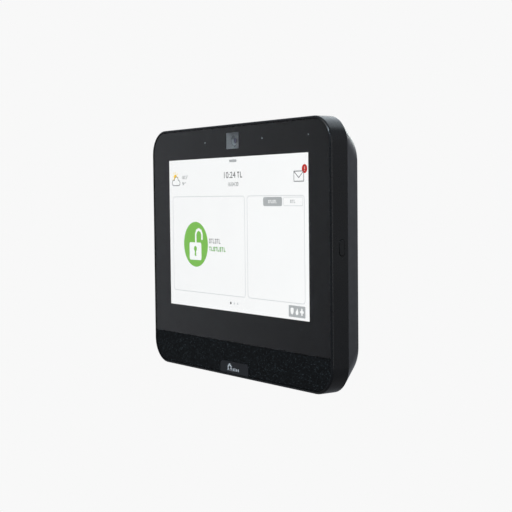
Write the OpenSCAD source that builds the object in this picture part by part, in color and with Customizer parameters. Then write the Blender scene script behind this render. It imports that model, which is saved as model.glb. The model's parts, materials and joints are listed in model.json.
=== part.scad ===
// Alarm keypad panel: a touch screen in a two-part housing that hangs on a wall plate.
// Every piece is drawn face up on the wall plane: x to the right, y up the wall and z = 0 at the
// wall. upright() then stands the piece against the wall, so that the screen faces -Y.

/* [Housing] */
// Width of the panel
body_w = 192.6; // [160:0.1:232]
// Height of the panel
body_h = 154.2; // [150:0.1:186]
// Corner radius seen from the front
corner_r = 15.65; // [10:0.05:22]
// Depth of the straight front band
band_d = 11.5; // [11.5:0.1:14]
// Depth of the tapered rear cover
taper_d = 13; // [12.8:0.1:16]
// How far each side of the rear cover tapers in
taper_in = 6.7; // [3:0.1:7]
// Corner radius at the rear edge
rear_corner_r = 18.9; // [14:0.1:22]
// Gap between the rear edge and the wall
wall_gap = 0.5; // [0.3:0.1:1]
// Rounding of the front edge
edge_r = 1.2; // [0.6:0.1:1.3]
// Rounding of the rear edge
rear_edge_r = 0.9; // [0.4:0.1:1.2]
// Wall of the front frame
frame_wall = 2.2; // [1.8:0.1:2.8]
// Wall of the rear cover
cover_wall = 2; // [1.6:0.1:2.5]
// Width of the rim round the glass
rim_w = 1.4; // [1.3:0.1:2]
// Height of the lip that centres the rear cover in the frame
lip_h = 1.4; // [1:0.1:1.5]
// Thickness of that lip
lip_t = 1; // [0.8:0.1:1.2]

/* [Glass and screen] */
// Thickness of the cover glass
glass_t = 1.1; // [0.7:0.1:1.4]
// How far the glass lies below the rim
glass_recess = 0.25; // [0.1:0.05:0.5]
// Gap between the glass and the rim
glass_gap = 0.3; // [0.2:0.05:0.5]
// Thickness of the adhesive tape under the glass
tape_t = 0.3; // [0.2:0.05:0.5]
// Width of the lit area
screen_w = 150.8; // [130:0.1:152]
// Height of the lit area
screen_h = 94.25; // [80:0.05:95]
// Top of the lit area below the top of the panel
screen_drop = 19.97; // [19:0.01:21]
// Thickness of the display cell
lcd_t = 1.5; // [1:0.1:2]
// Border of the display cell at the sides and the top
lcd_border = 3; // [2:0.1:4]
// Border of the display cell at the bottom, where its drivers sit
lcd_chin = 7.8; // [6:0.1:8]
// Thickness of the backlight
light_t = 2.5; // [1.5:0.1:2.8]

/* [Camera and sensors] */
// Width of the camera window
window_w = 13.4; // [11:0.1:15]
// Height of the camera window
window_h = 9.9; // [9:0.1:10.2]
// Centre of the camera and sensor row below the top of the panel
sensor_drop = 10.1; // [9.8:0.1:10.4]
// Places of the two microphones across the panel
mic_x = [-30.3, 31.8]; // [-38:0.1:40]
// Place of the light sensor across the panel
light_x = 75.6; // [60:0.1:76]
// Radius of the camera barrel
barrel_r = 3.5; // [3:0.1:3.8]
// Radius of the microphone holes in the glass
mic_hole_r = 0.45; // [0.3:0.05:0.6]

/* [Grille and speakers] */
// Height of the cloth band above the bottom of the panel
grille_h = 21.2; // [20:0.1:23]
// Thickness of the cloth
cloth_t = 0.5; // [0.4:0.05:0.7]
// Thickness of the perforated plate behind the cloth
grille_plate_t = 0.8; // [0.6:0.1:0.9]
// Radius of each perforation
perforation_r = 0.9; // [0.6:0.1:1]
// Distance between perforations
perforation_step = 2.6; // [2.4:0.1:3.5]
// Distance of each speaker's centre from the side of the panel
speaker_side = 38.3; // [36:0.1:42]
// Depth of a speaker basket
basket_d = 6; // [5.5:0.1:7]
// Travel of a speaker diaphragm each way
diaphragm_travel = 0.4; // [0.2:0.1:0.5]
// Width of the badge tab
badge_w = 30.5; // [24:0.1:36]
// Height of the badge tab above the rim
badge_h = 7.2; // [6:0.1:9]
// Corner radius of the badge tab
badge_r = 3; // [1:0.1:4]

/* [Side button] */
// Length of the button
button_l = 8.7; // [7:0.1:12]
// Width of the button
button_w = 3.4; // [2.8:0.1:3.6]
// Gap round the button
button_gap = 0.3; // [0.2:0.05:0.4]
// Height of the button above the middle of the panel
button_y = 4.5; // [-5:0.1:12]
// Distance of the button's axis behind the front rim
button_back = 7.3; // [7:0.1:7.6]
// Travel of the button
button_travel = 0.5; // [0.3:0.1:0.6]
// How far the button stands out of the side
button_proud = 0.25; // [0:0.05:0.5]

/* [Wall plate] */
// Width of the wall plate
plate_w = 160; // [140:1:162]
// Top of the wall plate above the middle of the panel
plate_top = 62; // [56:0.5:64]
// Bottom of the wall plate below the middle of the panel
plate_bottom = 58; // [54:0.5:59]
// Thickness of the wall plate
plate_t = 2.4; // [2:0.1:2.6]
// Radius of a wall screw hole
wall_hole_r = 2.25; // [1.75:0.05:2.75]
// Distance between wall screws across
wall_screw_x = 136; // [100:1:140]
// Distance between wall screws up the wall
wall_screw_y = 60; // [40:1:60]
// Distance between the two holes for a wall box
box_screw_y = 83.3; // [80:0.1:86]
// Radius of a wall box hole
box_hole_r = 1.9; // [1.5:0.1:2.2]
// Width and height of the cable opening
cable_hole = [50, 46]; // [44:1:56]
// Height of the cable opening's centre above the middle of the panel
cable_y = -5; // [-8:0.5:0]
// Distance of the hooks from the middle of the panel
hook_x = 60; // [52:0.5:62]
// Height of the upper and the lower pair of hooks
hook_y = [52, -40]; // [-42:0.5:54]
// Lift that frees the panel from its hooks
lift = 8; // [6:0.5:8]
// Width of a hook's stem and of its head
hook_w = [5, 10]; // [4:0.5:12]
// Height of a hook
hook_h = 5; // [4:0.5:6]
// Thickness of a hook's head
hook_t = 1.8; // [1.5:0.1:2]
// Gap round a hook in its slot
hook_gap = 0.3; // [0.2:0.05:0.5]
// Radius of the lock screw's thread
lock_r = 1.05; // [0.8:0.05:1.1]

/* [Tamper switch] */
// Place of the plunger on the back
tamper_pos = [42, -16]; // [-20:0.5:50]
// Radius of the plunger
plunger_r = 2; // [1.5:0.1:2.5]
// Running clearance of the plunger in its guide
plunger_fit = 0.06; // [0.03:0.01:0.1]
// Travel of the plunger while the panel is lifted off
plunger_travel = 1.6; // [1:0.1:1.6]
// Gap between the plunger's tip and its ramp
plunger_gap = 0.2; // [0.15:0.05:0.3]
// Wire radius, coil radius and number of turns of its spring
spring_size = [0.2, 1.7, 4]; // [0.15:0.05:5]

/* [Electronics] */
// Thickness of the chassis plate
chassis_t = 1.2; // [0.8:0.1:1.4]
// Thickness of a circuit board
board_t = 1.2; // [0.8:0.1:1.4]
// Thickness of the narrow sensor board
sensor_t = 0.8; // [0.6:0.1:1]
// Height of the spacers between the chassis and the main board
spacer_h = 2.45; // [2.2:0.05:2.6]
// Left and right edges of the main board
board_x = [-22, 79]; // [-24:1:80]
// Bottom and top edges of the main board
board_y = [-28, 52]; // [-30:1:54]
// Size of the battery pack
battery_size = [52, 74, 8]; // [6:1:76]
// Centre of the battery pack
battery_pos = [-53, 1]; // [-54:0.5:2]
// Size of the pocket that the cables enter
pocket_size = [48, 40]; // [36:1:50]
// Centre of the cable pocket
pocket_pos = [0, -6]; // [-8:0.5:1]
// Depth of the cable pocket
pocket_d = 6.4; // [5:0.1:6.6]
// Number and pitch of the terminals
terminals = [4, 5.08]; // [2:0.01:6]
// Depth and height of the terminal block
terminal_size = [8.4, 9.2]; // [7:0.1:9.4]

/* [Screws] */
// Radius of a housing screw's shank and head
housing_screw_r = [1.5, 2.75]; // [1.25:0.05:3]
// Length of a housing screw under its head
housing_screw_l = 8; // [7:0.5:8]
// Radius of a small screw's shank and head
small_screw_r = [0.8, 1.6]; // [0.6:0.05:1.8]
// Clearance of a screw in a hole that it passes through
screw_gap = 0.15; // [0.1:0.05:0.3]
// Distance of the side housing screws from the side of the panel
side_screw_in = 12; // [11.5:0.1:13]
// Distance of the end housing screws from the top or the bottom
end_screw_in = 12.5; // [12:0.1:13]

/* [Hidden] */
$fn = 48;

over = 1;          // how far a cutting tool runs past what it cuts
face_gap = 0.1;    // clearance between fixed pieces that only lie side by side

// Heights above the wall
seam_z = wall_gap + taper_d;
front_z = seam_z + band_d;
glass_top_z = front_z - glass_recess;
glass_back_z = glass_top_z - glass_t;
seat_z = glass_back_z - tape_t;
seat_t = 1.3;
lcd_back_z = glass_back_z - lcd_t;
tray_back_z = lcd_back_z - light_t;
chassis_back_z = tray_back_z - chassis_t;
board_top_z = chassis_back_z - spacer_h;
board_back_z = board_top_z - board_t;
floor_gap = 2.2;                          // room for wall screw heads in front of the plate
floor_back_z = plate_t + floor_gap;
floor_z = floor_back_z + cover_wall;
pocket_back_z = floor_back_z + pocket_d;
pocket_t = 1.6;
cloth_top_z = seat_z + grille_plate_t + cloth_t;

// Outline of the glass and of its seat
glass_side = rim_w + glass_gap;
seat_w = 4;
glass_bottom_y = -body_h / 2 + grille_h;
bar_y = [glass_bottom_y - 2.5, glass_bottom_y + 2.5];
grille_joint = 0.2;

badge_peg_x = 9;
badge_peg_y = -body_h / 2 + glass_side + 4.6;
badge_peg_r = 1.2;

// Recess in the back of the rear cover that takes the wall plate
skirt_t = 2.4;
recess_in = taper_in + skirt_t;
lock_z = 2.3;

// Display, measured down from the top of the panel
screen_top_y = body_h / 2 - screen_drop;
screen_y = screen_top_y - screen_h / 2;
lcd_y = [screen_top_y - screen_h - lcd_chin, screen_top_y + lcd_border];
lcd_x = screen_w / 2 + lcd_border;
tray_rim = 1;
tray_x = lcd_x + tray_rim;
tray_y = [lcd_y[0] - tray_rim, lcd_y[1] + tray_rim];

// Flat ribbons from the display and from the sensor board to the main board
ribbon_t = 0.2;
ribbon_x = [6, 30];
ribbon_turn_y = lcd_y[0] - 4;
camera_ribbon_x = [10, 18];

// Sensor row
sensor_y = body_h / 2 - sensor_drop;
sensor_board_z = seat_z - 4.95 - sensor_t;
sensor_board_x = [mic_x[0] - 7.5, light_x + 6];
sensor_board_y = [sensor_y - 4.9, sensor_y + 5.1];
sensor_top_z = sensor_board_z + sensor_t;
holder_size = 8.4;
holder_h = 2.6;
lens_gap = 1.13;
barrel_top_z = glass_back_z - lens_gap;
shroud_t = 0.8;
shroud_floor_z = glass_back_z - 2;
sensor_screw_x = [mic_x[0] + 10.3, mic_x[1] + 18.2];
sensor_screw_y = sensor_y + 2.3;

// Speakers
basket_size = [42, 14.5];
flange_size = [52, 17.6];
basket_flange_t = 1.2;
speaker_x = body_w / 2 - speaker_side;
speaker_y = -body_h / 2 + frame_wall + flange_size[1] / 2 + 0.35;
basket_top_z = seat_z - seat_t;
basket_floor_t = 1;
basket_floor_z = basket_top_z - basket_d;
basket_wall = 0.8;
basket_step_z = basket_top_z - 1.6;
cone_size = [36, 9];
cone_t = 0.4;
yoke_r = 6.5;
yoke_t = 0.9;
magnet_r = 4.4;
coil_r = 5.2;
coil_t = 0.45;
yoke_h = 5;
yoke_back_z = basket_floor_z + 0.5 - yoke_h;
speaker_pad = 5;
speaker_screw_x = (basket_size[0] + flange_size[0]) / 4;

// Chassis plate, between the sensor row and the speakers
chassis_x = body_w / 2 - frame_wall - 2.6;
speaker_top_y = speaker_y + flange_size[1] / 2;
chassis_y = [speaker_top_y + 0.55, tray_y[1] + 0.4];
chassis_boss_r = 2.3;
side_boss_x = chassis_x - 2.4;
side_boss_y = [screen_y + 38, screen_y - 46];
bar_boss_x = 45;
bar_boss_y = speaker_top_y + chassis_boss_r + 0.25;
boss_spots = [for (x = [-1, 1], y = side_boss_y) [x * side_boss_x, y],
              for (x = [-1, 1]) [x * bar_boss_x, bar_boss_y]];

// Main board
board_screw_in = 4;
board_spots = [for (x = [board_x[0] + board_screw_in, board_x[1] - board_screw_in],
                    y = [board_y[0] + board_screw_in, board_y[1] - board_screw_in]) [x, y]];
button_z = front_z - button_back;
inner_x = body_w / 2 - frame_wall;
flange_t = 1;
switch_l = 4.2;
post_end_x = inner_x - face_gap - flange_t - 3.6;
nub_x = post_end_x - button_travel - 0.05;
nub_l = 1;
switch_x = nub_x - nub_l - switch_l;
tab_x = nub_x - 0.5;

// Battery under its strap
battery_z = floor_z + face_gap;
strap_z = battery_z + battery_size[2] + face_gap;
strap_t = 0.8;
strap_w = 14;
strap_x = battery_pos[0] + 8;
strap_spots = [for (y = [-1, 1]) [strap_x, battery_pos[1] + y * (battery_size[1] / 2 + 5)]];
plug_y = 30;

// Terminal block
terminal_w = terminals[0] * terminals[1];
terminal_y = [pocket_pos[1] + 8, pocket_pos[1] + 8 + terminal_size[0]];
terminal_back_z = board_back_z - terminal_size[1];
terminal_mid = (terminal_y[0] + terminal_y[1]) / 2;
terminal_spots = [for (i = [0 : terminals[0] - 1])
                    [(i - (terminals[0] - 1) / 2) * terminals[1], terminal_mid]];

// Housing screws
housing_spots = [for (x = [-1, 1], y = [-1, 1]) [x * (body_w / 2 - side_screw_in), y * 40],
                 for (x = [-1, 1]) [x * 45, body_h / 2 - end_screw_in],
                 for (x = [-1, 1]) [x * 24, -body_h / 2 + end_screw_in]];
housing_boss_r = 3.1;
housing_post_r = 4.2;
head_seat_z = floor_back_z + 3.8;
housing_head_h = 2;
boss_top_z = min(chassis_back_z, sensor_board_z) - 0.3;
pilot_r = housing_screw_r[0];
small_head_h = 1.1;

// Tamper switch
ramp_z = floor_back_z - 0.3;
ramp_slope = plunger_travel / lift;
tip_z = ramp_z + plunger_gap;
collar_z = floor_z + plunger_travel + 0.5;
collar_t = 0.8;
collar_r = plunger_r + 0.9;
stem_r = 0.9;
tamper_h = 2;
tamper_back_z = board_back_z - tamper_h;

// Stands a piece drawn face up against the wall.
module upright() {
  rotate([90, 0, 0]) children();
}

// Flat outline with round corners, centred.
module round_rect(w, h, r) {
  square([w - 2 * r, h], center = true);
  square([w, h - 2 * r], center = true);
  for (x = [-1, 1], y = [-1, 1])
    translate([x * (w / 2 - r), y * (h / 2 - r)])
      circle(r);
}

// Flat outline with round ends, centred, long way across.
module slot_shape(w, h) {
  square([w - h, h], center = true);
  for (x = [-1, 1])
    translate([x * (w - h) / 2, 0])
      circle(h / 2);
}

// Block between two opposite corners.
module block(low, high) {
  translate(low)
    cube(high - low);
}

// Cylinder up from a height, at a spot on the plan.
module post(spot, z, r, h) {
  translate([spot[0], spot[1], z])
    cylinder(r = r, h = h);
}

// Carries a wall section round the outline: x = 0 is the outer face and y is the height.
module along_outline(w, h, r) {
  for (turn = [0 : 3]) {
    reach = turn % 2 == 0 ? w : h;
    side = turn % 2 == 0 ? h : w;
    rotate(90 * turn) {
      translate([reach / 2, 0, 0])
        rotate([90, 0, 0])
          linear_extrude(side - 2 * r, center = true)
            children();
      translate([reach / 2 - r, side / 2 - r, 0])
        rotate_extrude(angle = 90)
          translate([r, 0])
            children();
    }
  }
}

// Strip of even thickness along flat points.
module bent_strip(points, t) {
  for (i = [0 : len(points) - 2]) {
    run = points[i + 1] - points[i];
    translate(points[i])
      rotate(atan2(run[1], run[0]))
        translate([0, -t / 2])
          square([norm(run), t]);
  }
  for (i = [1 : len(points) - 2])
    translate(points[i])
      circle(t / 2);
}

// Screw whose head sits on height z, with its shank pointing up towards the front.
module screw(spot, z, r, head_h, length) {
  post(spot, z - head_h, r[1], head_h);
  post(spot, z - head_h / 2, r[0], length + head_h / 2);
}

// Share of the taper that is reached at a height: 0 at the seam and 1 at the rear edge.
function taper(z) = (seam_z - z) / taper_d;

// Thin slab of the tapered outline at a height, set in by a margin.
module taper_slab(z, t, margin) {
  inset = taper_in * taper(z) + margin;
  r = corner_r + (rear_corner_r - corner_r) * taper(z) - margin;
  translate([0, 0, z])
    linear_extrude(t)
      round_rect(body_w - 2 * inset, body_h - 2 * inset, r, $fn = 96);
}

module rear_edge_slab(turn) {
  taper_slab(wall_gap + rear_edge_r * (1 - sin(turn)), 0.05, rear_edge_r * (1 - cos(turn)));
}

// ---------------------------------------------------------------- wall plate

module hook(spot) {
  low = spot[1] - hook_h;
  block([spot[0] - hook_w[0] / 2, low, plate_t - 0.5],
        [spot[0] + hook_w[0] / 2, spot[1], floor_z + hook_gap]);
  block([spot[0] - hook_w[1] / 2, low, floor_z + hook_gap],
        [spot[0] + hook_w[1] / 2, spot[1], floor_z + hook_gap + hook_t]);
}

// Pad that pushes the plunger in, and falls away up the wall so that lifting lets it out.
module tamper_ramp() {
  run = lift + 2;
  translate([tamper_pos[0], 0, 0])
    rotate([90, 0, 90])
      linear_extrude(8, center = true)
        polygon([
          [tamper_pos[1] - 5, plate_t - 0.5],
          [tamper_pos[1] - 5, ramp_z],
          [tamper_pos[1], ramp_z],
          [tamper_pos[1] + run, ramp_z - run * ramp_slope],
          [tamper_pos[1] + run, plate_t - 0.5]
        ]);
}

module wall_plate() {
  color("gainsboro")
    upright()
      difference() {
        union() {
          translate([0, (plate_top - plate_bottom) / 2, 0])
            linear_extrude(plate_t)
              round_rect(plate_w, plate_top + plate_bottom, 10);
          for (x = [-1, 1], y = hook_y)
            hook([x * hook_x, y]);
          tamper_ramp();
          block([-5, -plate_bottom, 0], [5, -plate_bottom + 8, floor_back_z - 0.3]);
          translate([0, cable_y, 0])
            linear_extrude(floor_back_z - 1)
              difference() {
                round_rect(cable_hole[0] + 3.2, cable_hole[1] + 3.2, 5.6);
                round_rect(cable_hole[0], cable_hole[1], 4);
              }
        }
        translate([0, cable_y, -over])
          linear_extrude(plate_t + 2 * over)
            round_rect(cable_hole[0], cable_hole[1], 4);
        for (x = [-1, 1], y = [-1, 1])
          post([x * wall_screw_x / 2, y * wall_screw_y / 2], -over, wall_hole_r, plate_t + 2 * over);
        for (y = [-1, 1])
          post([0, y * box_screw_y / 2], -over, box_hole_r, plate_t + 2 * over);
        translate([0, -plate_bottom - over, lock_z])
          rotate([-90, 0, 0])
            cylinder(r = lock_r, h = 7 + over);
      }
}

// ---------------------------------------------------------------- housing

// Outer wall, rim and glass seat in one section, with the front edge rounded.
module frame_section() {
  difference() {
    union() {
      translate([-frame_wall, seam_z])
        square([frame_wall, seat_z - seam_z]);
      translate([-seat_w, seat_z - seat_t])
        square([seat_w, seat_t]);
      translate([-rim_w, seat_z - seat_t])
        square([rim_w, front_z - seat_z + seat_t]);
    }
    translate([-edge_r, front_z - edge_r])
      difference() {
        square(edge_r + over);
        circle(edge_r);
      }
  }
}

// Boss and web that take a housing screw and join it to the nearest wall.
module housing_boss(spot) {
  top_z = boss_top_z;
  low_z = seam_z + 0.2;
  to_side = abs(spot[0]) > abs(spot[1]) * body_w / body_h;
  post(spot, low_z, housing_boss_r, top_z - low_z);
  away = to_side ? [sign(spot[0]), 0] : [0, sign(spot[1])];
  wall = to_side ? body_w / 2 - abs(spot[0]) : body_h / 2 - abs(spot[1]);
  long = wall - frame_wall / 2;
  web_low = low_z + lip_h + 0.4;
  translate([spot[0], spot[1], web_low])
    rotate(atan2(away[1], away[0]))
      translate([0, -1, 0])
        cube([long, 2, top_z - web_low]);
}

module front_frame() {
  color("dimgray")
    upright()
      difference() {
        union() {
          along_outline(body_w, body_h, corner_r)
            frame_section();
          block([-inner_x - 0.1, bar_y[0], seat_z - seat_t], [inner_x + 0.1, bar_y[1], seat_z]);
          for (spot = housing_spots)
            housing_boss(spot);
          for (spot = boss_spots)
            post(spot, tray_back_z, chassis_boss_r, seat_z - seat_t / 2 - tray_back_z);
          for (x = [-1, 1], y = side_boss_y)
            block([x * side_boss_x - (x < 0 ? 4 : 0), y - 1, tray_back_z],
                  [x * side_boss_x + (x > 0 ? 4 : 0), y + 1, seat_z - seat_t / 2]);
          for (x = sensor_screw_x) {
            post([x, sensor_screw_y], sensor_top_z, 1.8, seat_z - seat_t / 2 - sensor_top_z);
            block([x - 0.8, sensor_screw_y, seat_z - seat_t - 1],
                  [x + 0.8, body_h / 2 - seat_w + 0.5, seat_z - seat_t / 2]);
          }
          for (x = [-speaker_x, speaker_x], end = [-1, 1])
            block([x + end * speaker_screw_x - speaker_pad / 2, -body_h / 2 + seat_w - 0.5, basket_top_z],
                  [x + end * speaker_screw_x + speaker_pad / 2, bar_y[0] + 0.5, seat_z]);
        }
        for (spot = housing_spots)
          post(spot, seam_z - over, pilot_r, boss_top_z - 0.6 - seam_z + over);
        for (spot = boss_spots)
          post(spot, tray_back_z - over, small_screw_r[0], 3 + over);
        for (x = sensor_screw_x)
          post([x, sensor_screw_y], sensor_top_z - over, small_screw_r[0], 3 + over);
        for (x = [-speaker_x, speaker_x], end = [-1, 1])
          post([x + end * speaker_screw_x, speaker_y], basket_top_z - over, small_screw_r[0], 1 + over);
        translate([inner_x - over, button_y, button_z])
          rotate([90, 0, 90])
            linear_extrude(frame_wall + 2 * over)
              slot_shape(button_l + 2 * button_gap, button_w + 2 * button_gap);
        clip_recesses();
      }
}

// Shallow snap recesses inside the long walls, which the rear cover's lip clicks into.
module clip_recesses() {
  for (x = [-1, 1], y = [-1, 1])
    block([x * 66 - 4, y * (body_h / 2 - frame_wall) - 0.4, seam_z + 0.6],
          [x * 66 + 4, y * (body_h / 2 - frame_wall) + 0.4, seam_z + 1.3]);
}

// Slot that a hook's head passes at the bottom and its stem hangs in at the top.
module hook_slot(spot) {
  top = spot[1] + face_gap;
  narrow = hook_w[0] / 2 + hook_gap;
  wide = hook_w[1] / 2 + hook_gap;
  mouth_top = spot[1] - lift + hook_gap;
  low = spot[1] - lift - hook_h - hook_gap;
  block([spot[0] - narrow, low, floor_back_z - over], [spot[0] + narrow, top, floor_z + over]);
  block([spot[0] - wide, low, floor_back_z - over], [spot[0] + wide, mouth_top, floor_z + over]);
}

module cover_lip() {
  translate([-frame_wall - 0.15 - lip_t, seam_z - 2])
    square([lip_t, 2 + lip_h]);
}

module rear_cover() {
  color("slategray")
    upright()
      difference() {
        union() {
          difference() {
            hull() {
              for (turn = [0, 30, 60, 90])
                rear_edge_slab(turn);
              taper_slab(seam_z - 0.2, 0.2, 0);
            }
            hull() {
              taper_slab(floor_z, 0.2, cover_wall);
              taper_slab(seam_z - 0.2, 0.2 + over, cover_wall);
            }
            translate([0, 0, -over])
              linear_extrude(floor_back_z + over)
                round_rect(body_w - 2 * recess_in, body_h - 2 * recess_in, rear_corner_r - skirt_t);
          }
          along_outline(body_w, body_h, corner_r)
            cover_lip();
          for (spot = housing_spots)
            post(spot, floor_back_z, housing_post_r, seam_z - floor_back_z);
          translate([pocket_pos[0], pocket_pos[1], floor_back_z])
            linear_extrude(pocket_d + pocket_t)
              round_rect(pocket_size[0] + 2 * pocket_t, pocket_size[1] + 2 * pocket_t, 4);
          for (spot = strap_spots)
            post(spot, floor_back_z, 2.6, strap_z - floor_back_z);
          post(tamper_pos, floor_back_z, plunger_r + 1.6, floor_z - floor_back_z + 0.3);
        }
        translate([pocket_pos[0], pocket_pos[1], -over])
          linear_extrude(pocket_back_z + over)
            round_rect(pocket_size[0], pocket_size[1], 2.4);
        block([-terminal_w / 2 - face_gap, terminal_y[0] - face_gap, pocket_back_z - over],
              [terminal_w / 2 + face_gap, terminal_y[1] + face_gap, pocket_back_z + pocket_t + over]);
        for (spot = housing_spots) {
          post(spot, 0, housing_screw_r[1] + screw_gap, head_seat_z);
          post(spot, 0, housing_screw_r[0] + screw_gap, seam_z + over);
        }
        for (spot = strap_spots)
          post(spot, strap_z - 6, small_screw_r[0], 6 + over);
        for (x = [-1, 1], y = hook_y)
          hook_slot([x * hook_x, y]);
        post(tamper_pos, 0, plunger_r + plunger_fit, floor_z + over);
        translate([0, -body_h / 2, lock_z])
          rotate([-90, 0, 0])
            cylinder(r = lock_r + 0.65, h = 14);
      }
}

module housing_screws() {
  color("silver")
    upright()
      for (spot = housing_spots)
        screw(spot, head_seat_z, housing_screw_r, housing_head_h, housing_screw_l);
}

// ---------------------------------------------------------------- glass and display

// Outline of the glass: round upper corners, and a straight lower edge above the cloth.
module glass_outline(margin) {
  w = body_w - 2 * glass_side - 2 * margin;
  top = body_h / 2 - glass_side - margin;
  low = glass_bottom_y + margin;
  r = corner_r - glass_side - margin;
  soft = 0.6;
  translate([-w / 2, low + soft])
    square([w, top - r - low - soft]);
  translate([-w / 2 + soft, low])
    square([w - 2 * soft, 2 * soft]);
  translate([-w / 2 + r, low + soft])
    square([w - 2 * r, top - low - soft]);
  for (x = [-1, 1]) {
    translate([x * (w / 2 - r), top - r])
      circle(r);
    translate([x * (w / 2 - soft), low + soft])
      circle(soft);
  }
}

module touch_glass() {
  color([0.05, 0.05, 0.06])
    upright()
      difference() {
        translate([0, 0, glass_back_z])
          linear_extrude(glass_t)
            glass_outline(0);
        for (x = mic_x)
          post([x, sensor_y], glass_back_z - over, mic_hole_r, glass_t + 2 * over);
      }
}

module glass_tape() {
  tape_w = 2;
  color("black")
    upright()
      translate([0, 0, seat_z])
        linear_extrude(tape_t)
          difference() {
            glass_outline(0.2);
            glass_outline(tape_w);
          }
}

module lcd_panel() {
  color("white")
    upright()
      block([-lcd_x, lcd_y[0], lcd_back_z], [lcd_x, lcd_y[1], glass_back_z]);
}

module backlight_tray() {
  color("silver")
    upright()
      difference() {
        block([-tray_x, tray_y[0], tray_back_z], [tray_x, tray_y[1], lcd_back_z]);
        for (x = [-1, 1])
          post([x * (tray_x - 8), tray_y[0] + 8], tray_back_z - over, 1.5, over + 0.6);
      }
}

// ---------------------------------------------------------------- chassis and boards

module chassis_plate() {
  notch_x = switch_x - 0.6;
  color("silver")
    upright()
      difference() {
        union() {
          translate([0, (chassis_y[0] + chassis_y[1]) / 2, chassis_back_z])
            linear_extrude(chassis_t)
              round_rect(2 * chassis_x, chassis_y[1] - chassis_y[0], 3);
          for (spot = board_spots)
            post(spot, board_top_z, 2.4, spacer_h + chassis_t / 2);
        }
        for (spot = boss_spots)
          post(spot, chassis_back_z - over, small_screw_r[0] + screw_gap, chassis_t + 2 * over);
        for (spot = board_spots)
          post(spot, board_top_z - over, small_screw_r[0], spacer_h + over);
        block([notch_x, button_y - 7, chassis_back_z - over],
              [chassis_x + over, button_y + 7, tray_back_z + over]);
        block([ribbon_x[0] - 1, ribbon_turn_y - 1, chassis_back_z - over],
              [ribbon_x[1] + 1, tray_y[0] - 0.6, tray_back_z + over]);
        for (x = [-3 : 3])
          translate([x * 22, screen_y - 6, chassis_back_z - over])
            linear_extrude(chassis_t + 2 * over)
              rotate(90)
                slot_shape(60, 6);
      }
}

module chassis_screws() {
  color("silver")
    upright()
      for (spot = boss_spots)
        screw(spot, chassis_back_z, small_screw_r, small_head_h, chassis_t + 2.8);
}

// Main board with a tab that reaches out to the side button.
module main_board() {
  color("darkgreen")
    upright()
      difference() {
        union() {
          block([board_x[0], board_y[0], board_back_z], [board_x[1], board_y[1], board_top_z]);
          block([board_x[1] - 2, button_y - 6, board_back_z], [tab_x, button_y + 6, board_top_z]);
        }
        for (spot = board_spots)
          post(spot, board_back_z - over, small_screw_r[0] + screw_gap, board_t + 2 * over);
      }
}

module board_screws() {
  color("silver")
    upright()
      for (spot = board_spots)
        screw(spot, board_back_z, small_screw_r, small_head_h, board_t + 2.2);
}

module processor_shield() {
  spot = [board_x[0] + 58, board_y[1] - 22];
  color("lightgray")
    upright()
      translate([spot[0], spot[1], board_back_z - 2.2])
        linear_extrude(2.2)
          round_rect(34, 28, 1.5);
}

module radio_shield() {
  spot = [board_x[1] - 14, board_y[0] + 34];
  color("lightgray")
    upright()
      translate([spot[0], spot[1], board_back_z - 2.4])
        linear_extrude(2.4)
          round_rect(20, 26, 1);
}

// Loose parts on the back of the main board: capacitors, coils and connectors.
module board_parts() {
  color("black")
    upright() {
      for (i = [0 : 3])
        post([board_x[0] + 9 + 7 * i, board_y[1] - 12], board_back_z - 3.2, 2.4, 3.2);
      for (i = [0 : 1])
        block([board_x[0] + 6 + 11 * i, board_y[1] - 26, board_back_z - 2.6],
              [board_x[0] + 13 + 11 * i, board_y[1] - 19, board_back_z]);
      block([board_x[1] - 20, board_y[1] - 14, board_back_z - 1.6],
            [board_x[1] - 10, board_y[1] - 9, board_back_z]);
      block([ribbon_x[0], board_y[0] + 1, board_top_z], [ribbon_x[1], board_y[0] + 5, board_top_z + 1.1]);
      block([camera_ribbon_x[0] - 1, board_y[1] - 5, board_top_z],
            [camera_ribbon_x[1] + 1, board_y[1] - 1.5, board_top_z + 1.1]);
      block([board_x[0] + 0.5, plug_y - 3.5, board_back_z - 4],
            [board_x[0] + 6.5, plug_y + 3.5, board_back_z]);
    }
}

// ---------------------------------------------------------------- sensor row

module sensor_board() {
  color("darkgreen")
    upright()
      difference() {
        block([sensor_board_x[0], sensor_board_y[0], sensor_board_z],
              [sensor_board_x[1], sensor_board_y[1], sensor_top_z]);
        for (x = sensor_screw_x)
          post([x, sensor_screw_y], sensor_board_z - over,
               small_screw_r[0] + screw_gap, sensor_t + 2 * over);
      }
}

module sensor_screws() {
  color("silver")
    upright()
      for (x = sensor_screw_x)
        screw([x, sensor_screw_y], sensor_board_z, small_screw_r, small_head_h, sensor_t + 2.6);
}

module camera_holder() {
  color("black")
    upright()
      difference() {
        translate([0, sensor_y, sensor_top_z])
          linear_extrude(holder_h)
            round_rect(holder_size, holder_size, 0.8);
        post([0, sensor_y], sensor_top_z + 1, barrel_r, holder_h);
      }
}

// Threaded barrel that sits in the holder and opens in a cone towards the glass.
module camera_barrel() {
  low = sensor_top_z + 1;
  h = barrel_top_z - low;
  color("dimgray")
    upright()
      translate([0, sensor_y, low])
        rotate_extrude()
          polygon([[0, 0], [barrel_r, 0], [barrel_r, h - 0.3], [barrel_r - 0.3, h],
                   [barrel_r - 0.8, h], [1.6, h - 0.9], [1.6, h - 1.9], [0, h - 1.9]]);
}

module camera_lens() {
  top = barrel_top_z - 0.9;
  color("midnightblue")
    upright()
      translate([0, sensor_y, top - 1])
        rotate_extrude()
          intersection() {
            square([1.6, 1.4]);
            translate([0, 1.4 - 4])
              circle(4);
          }
}

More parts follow.
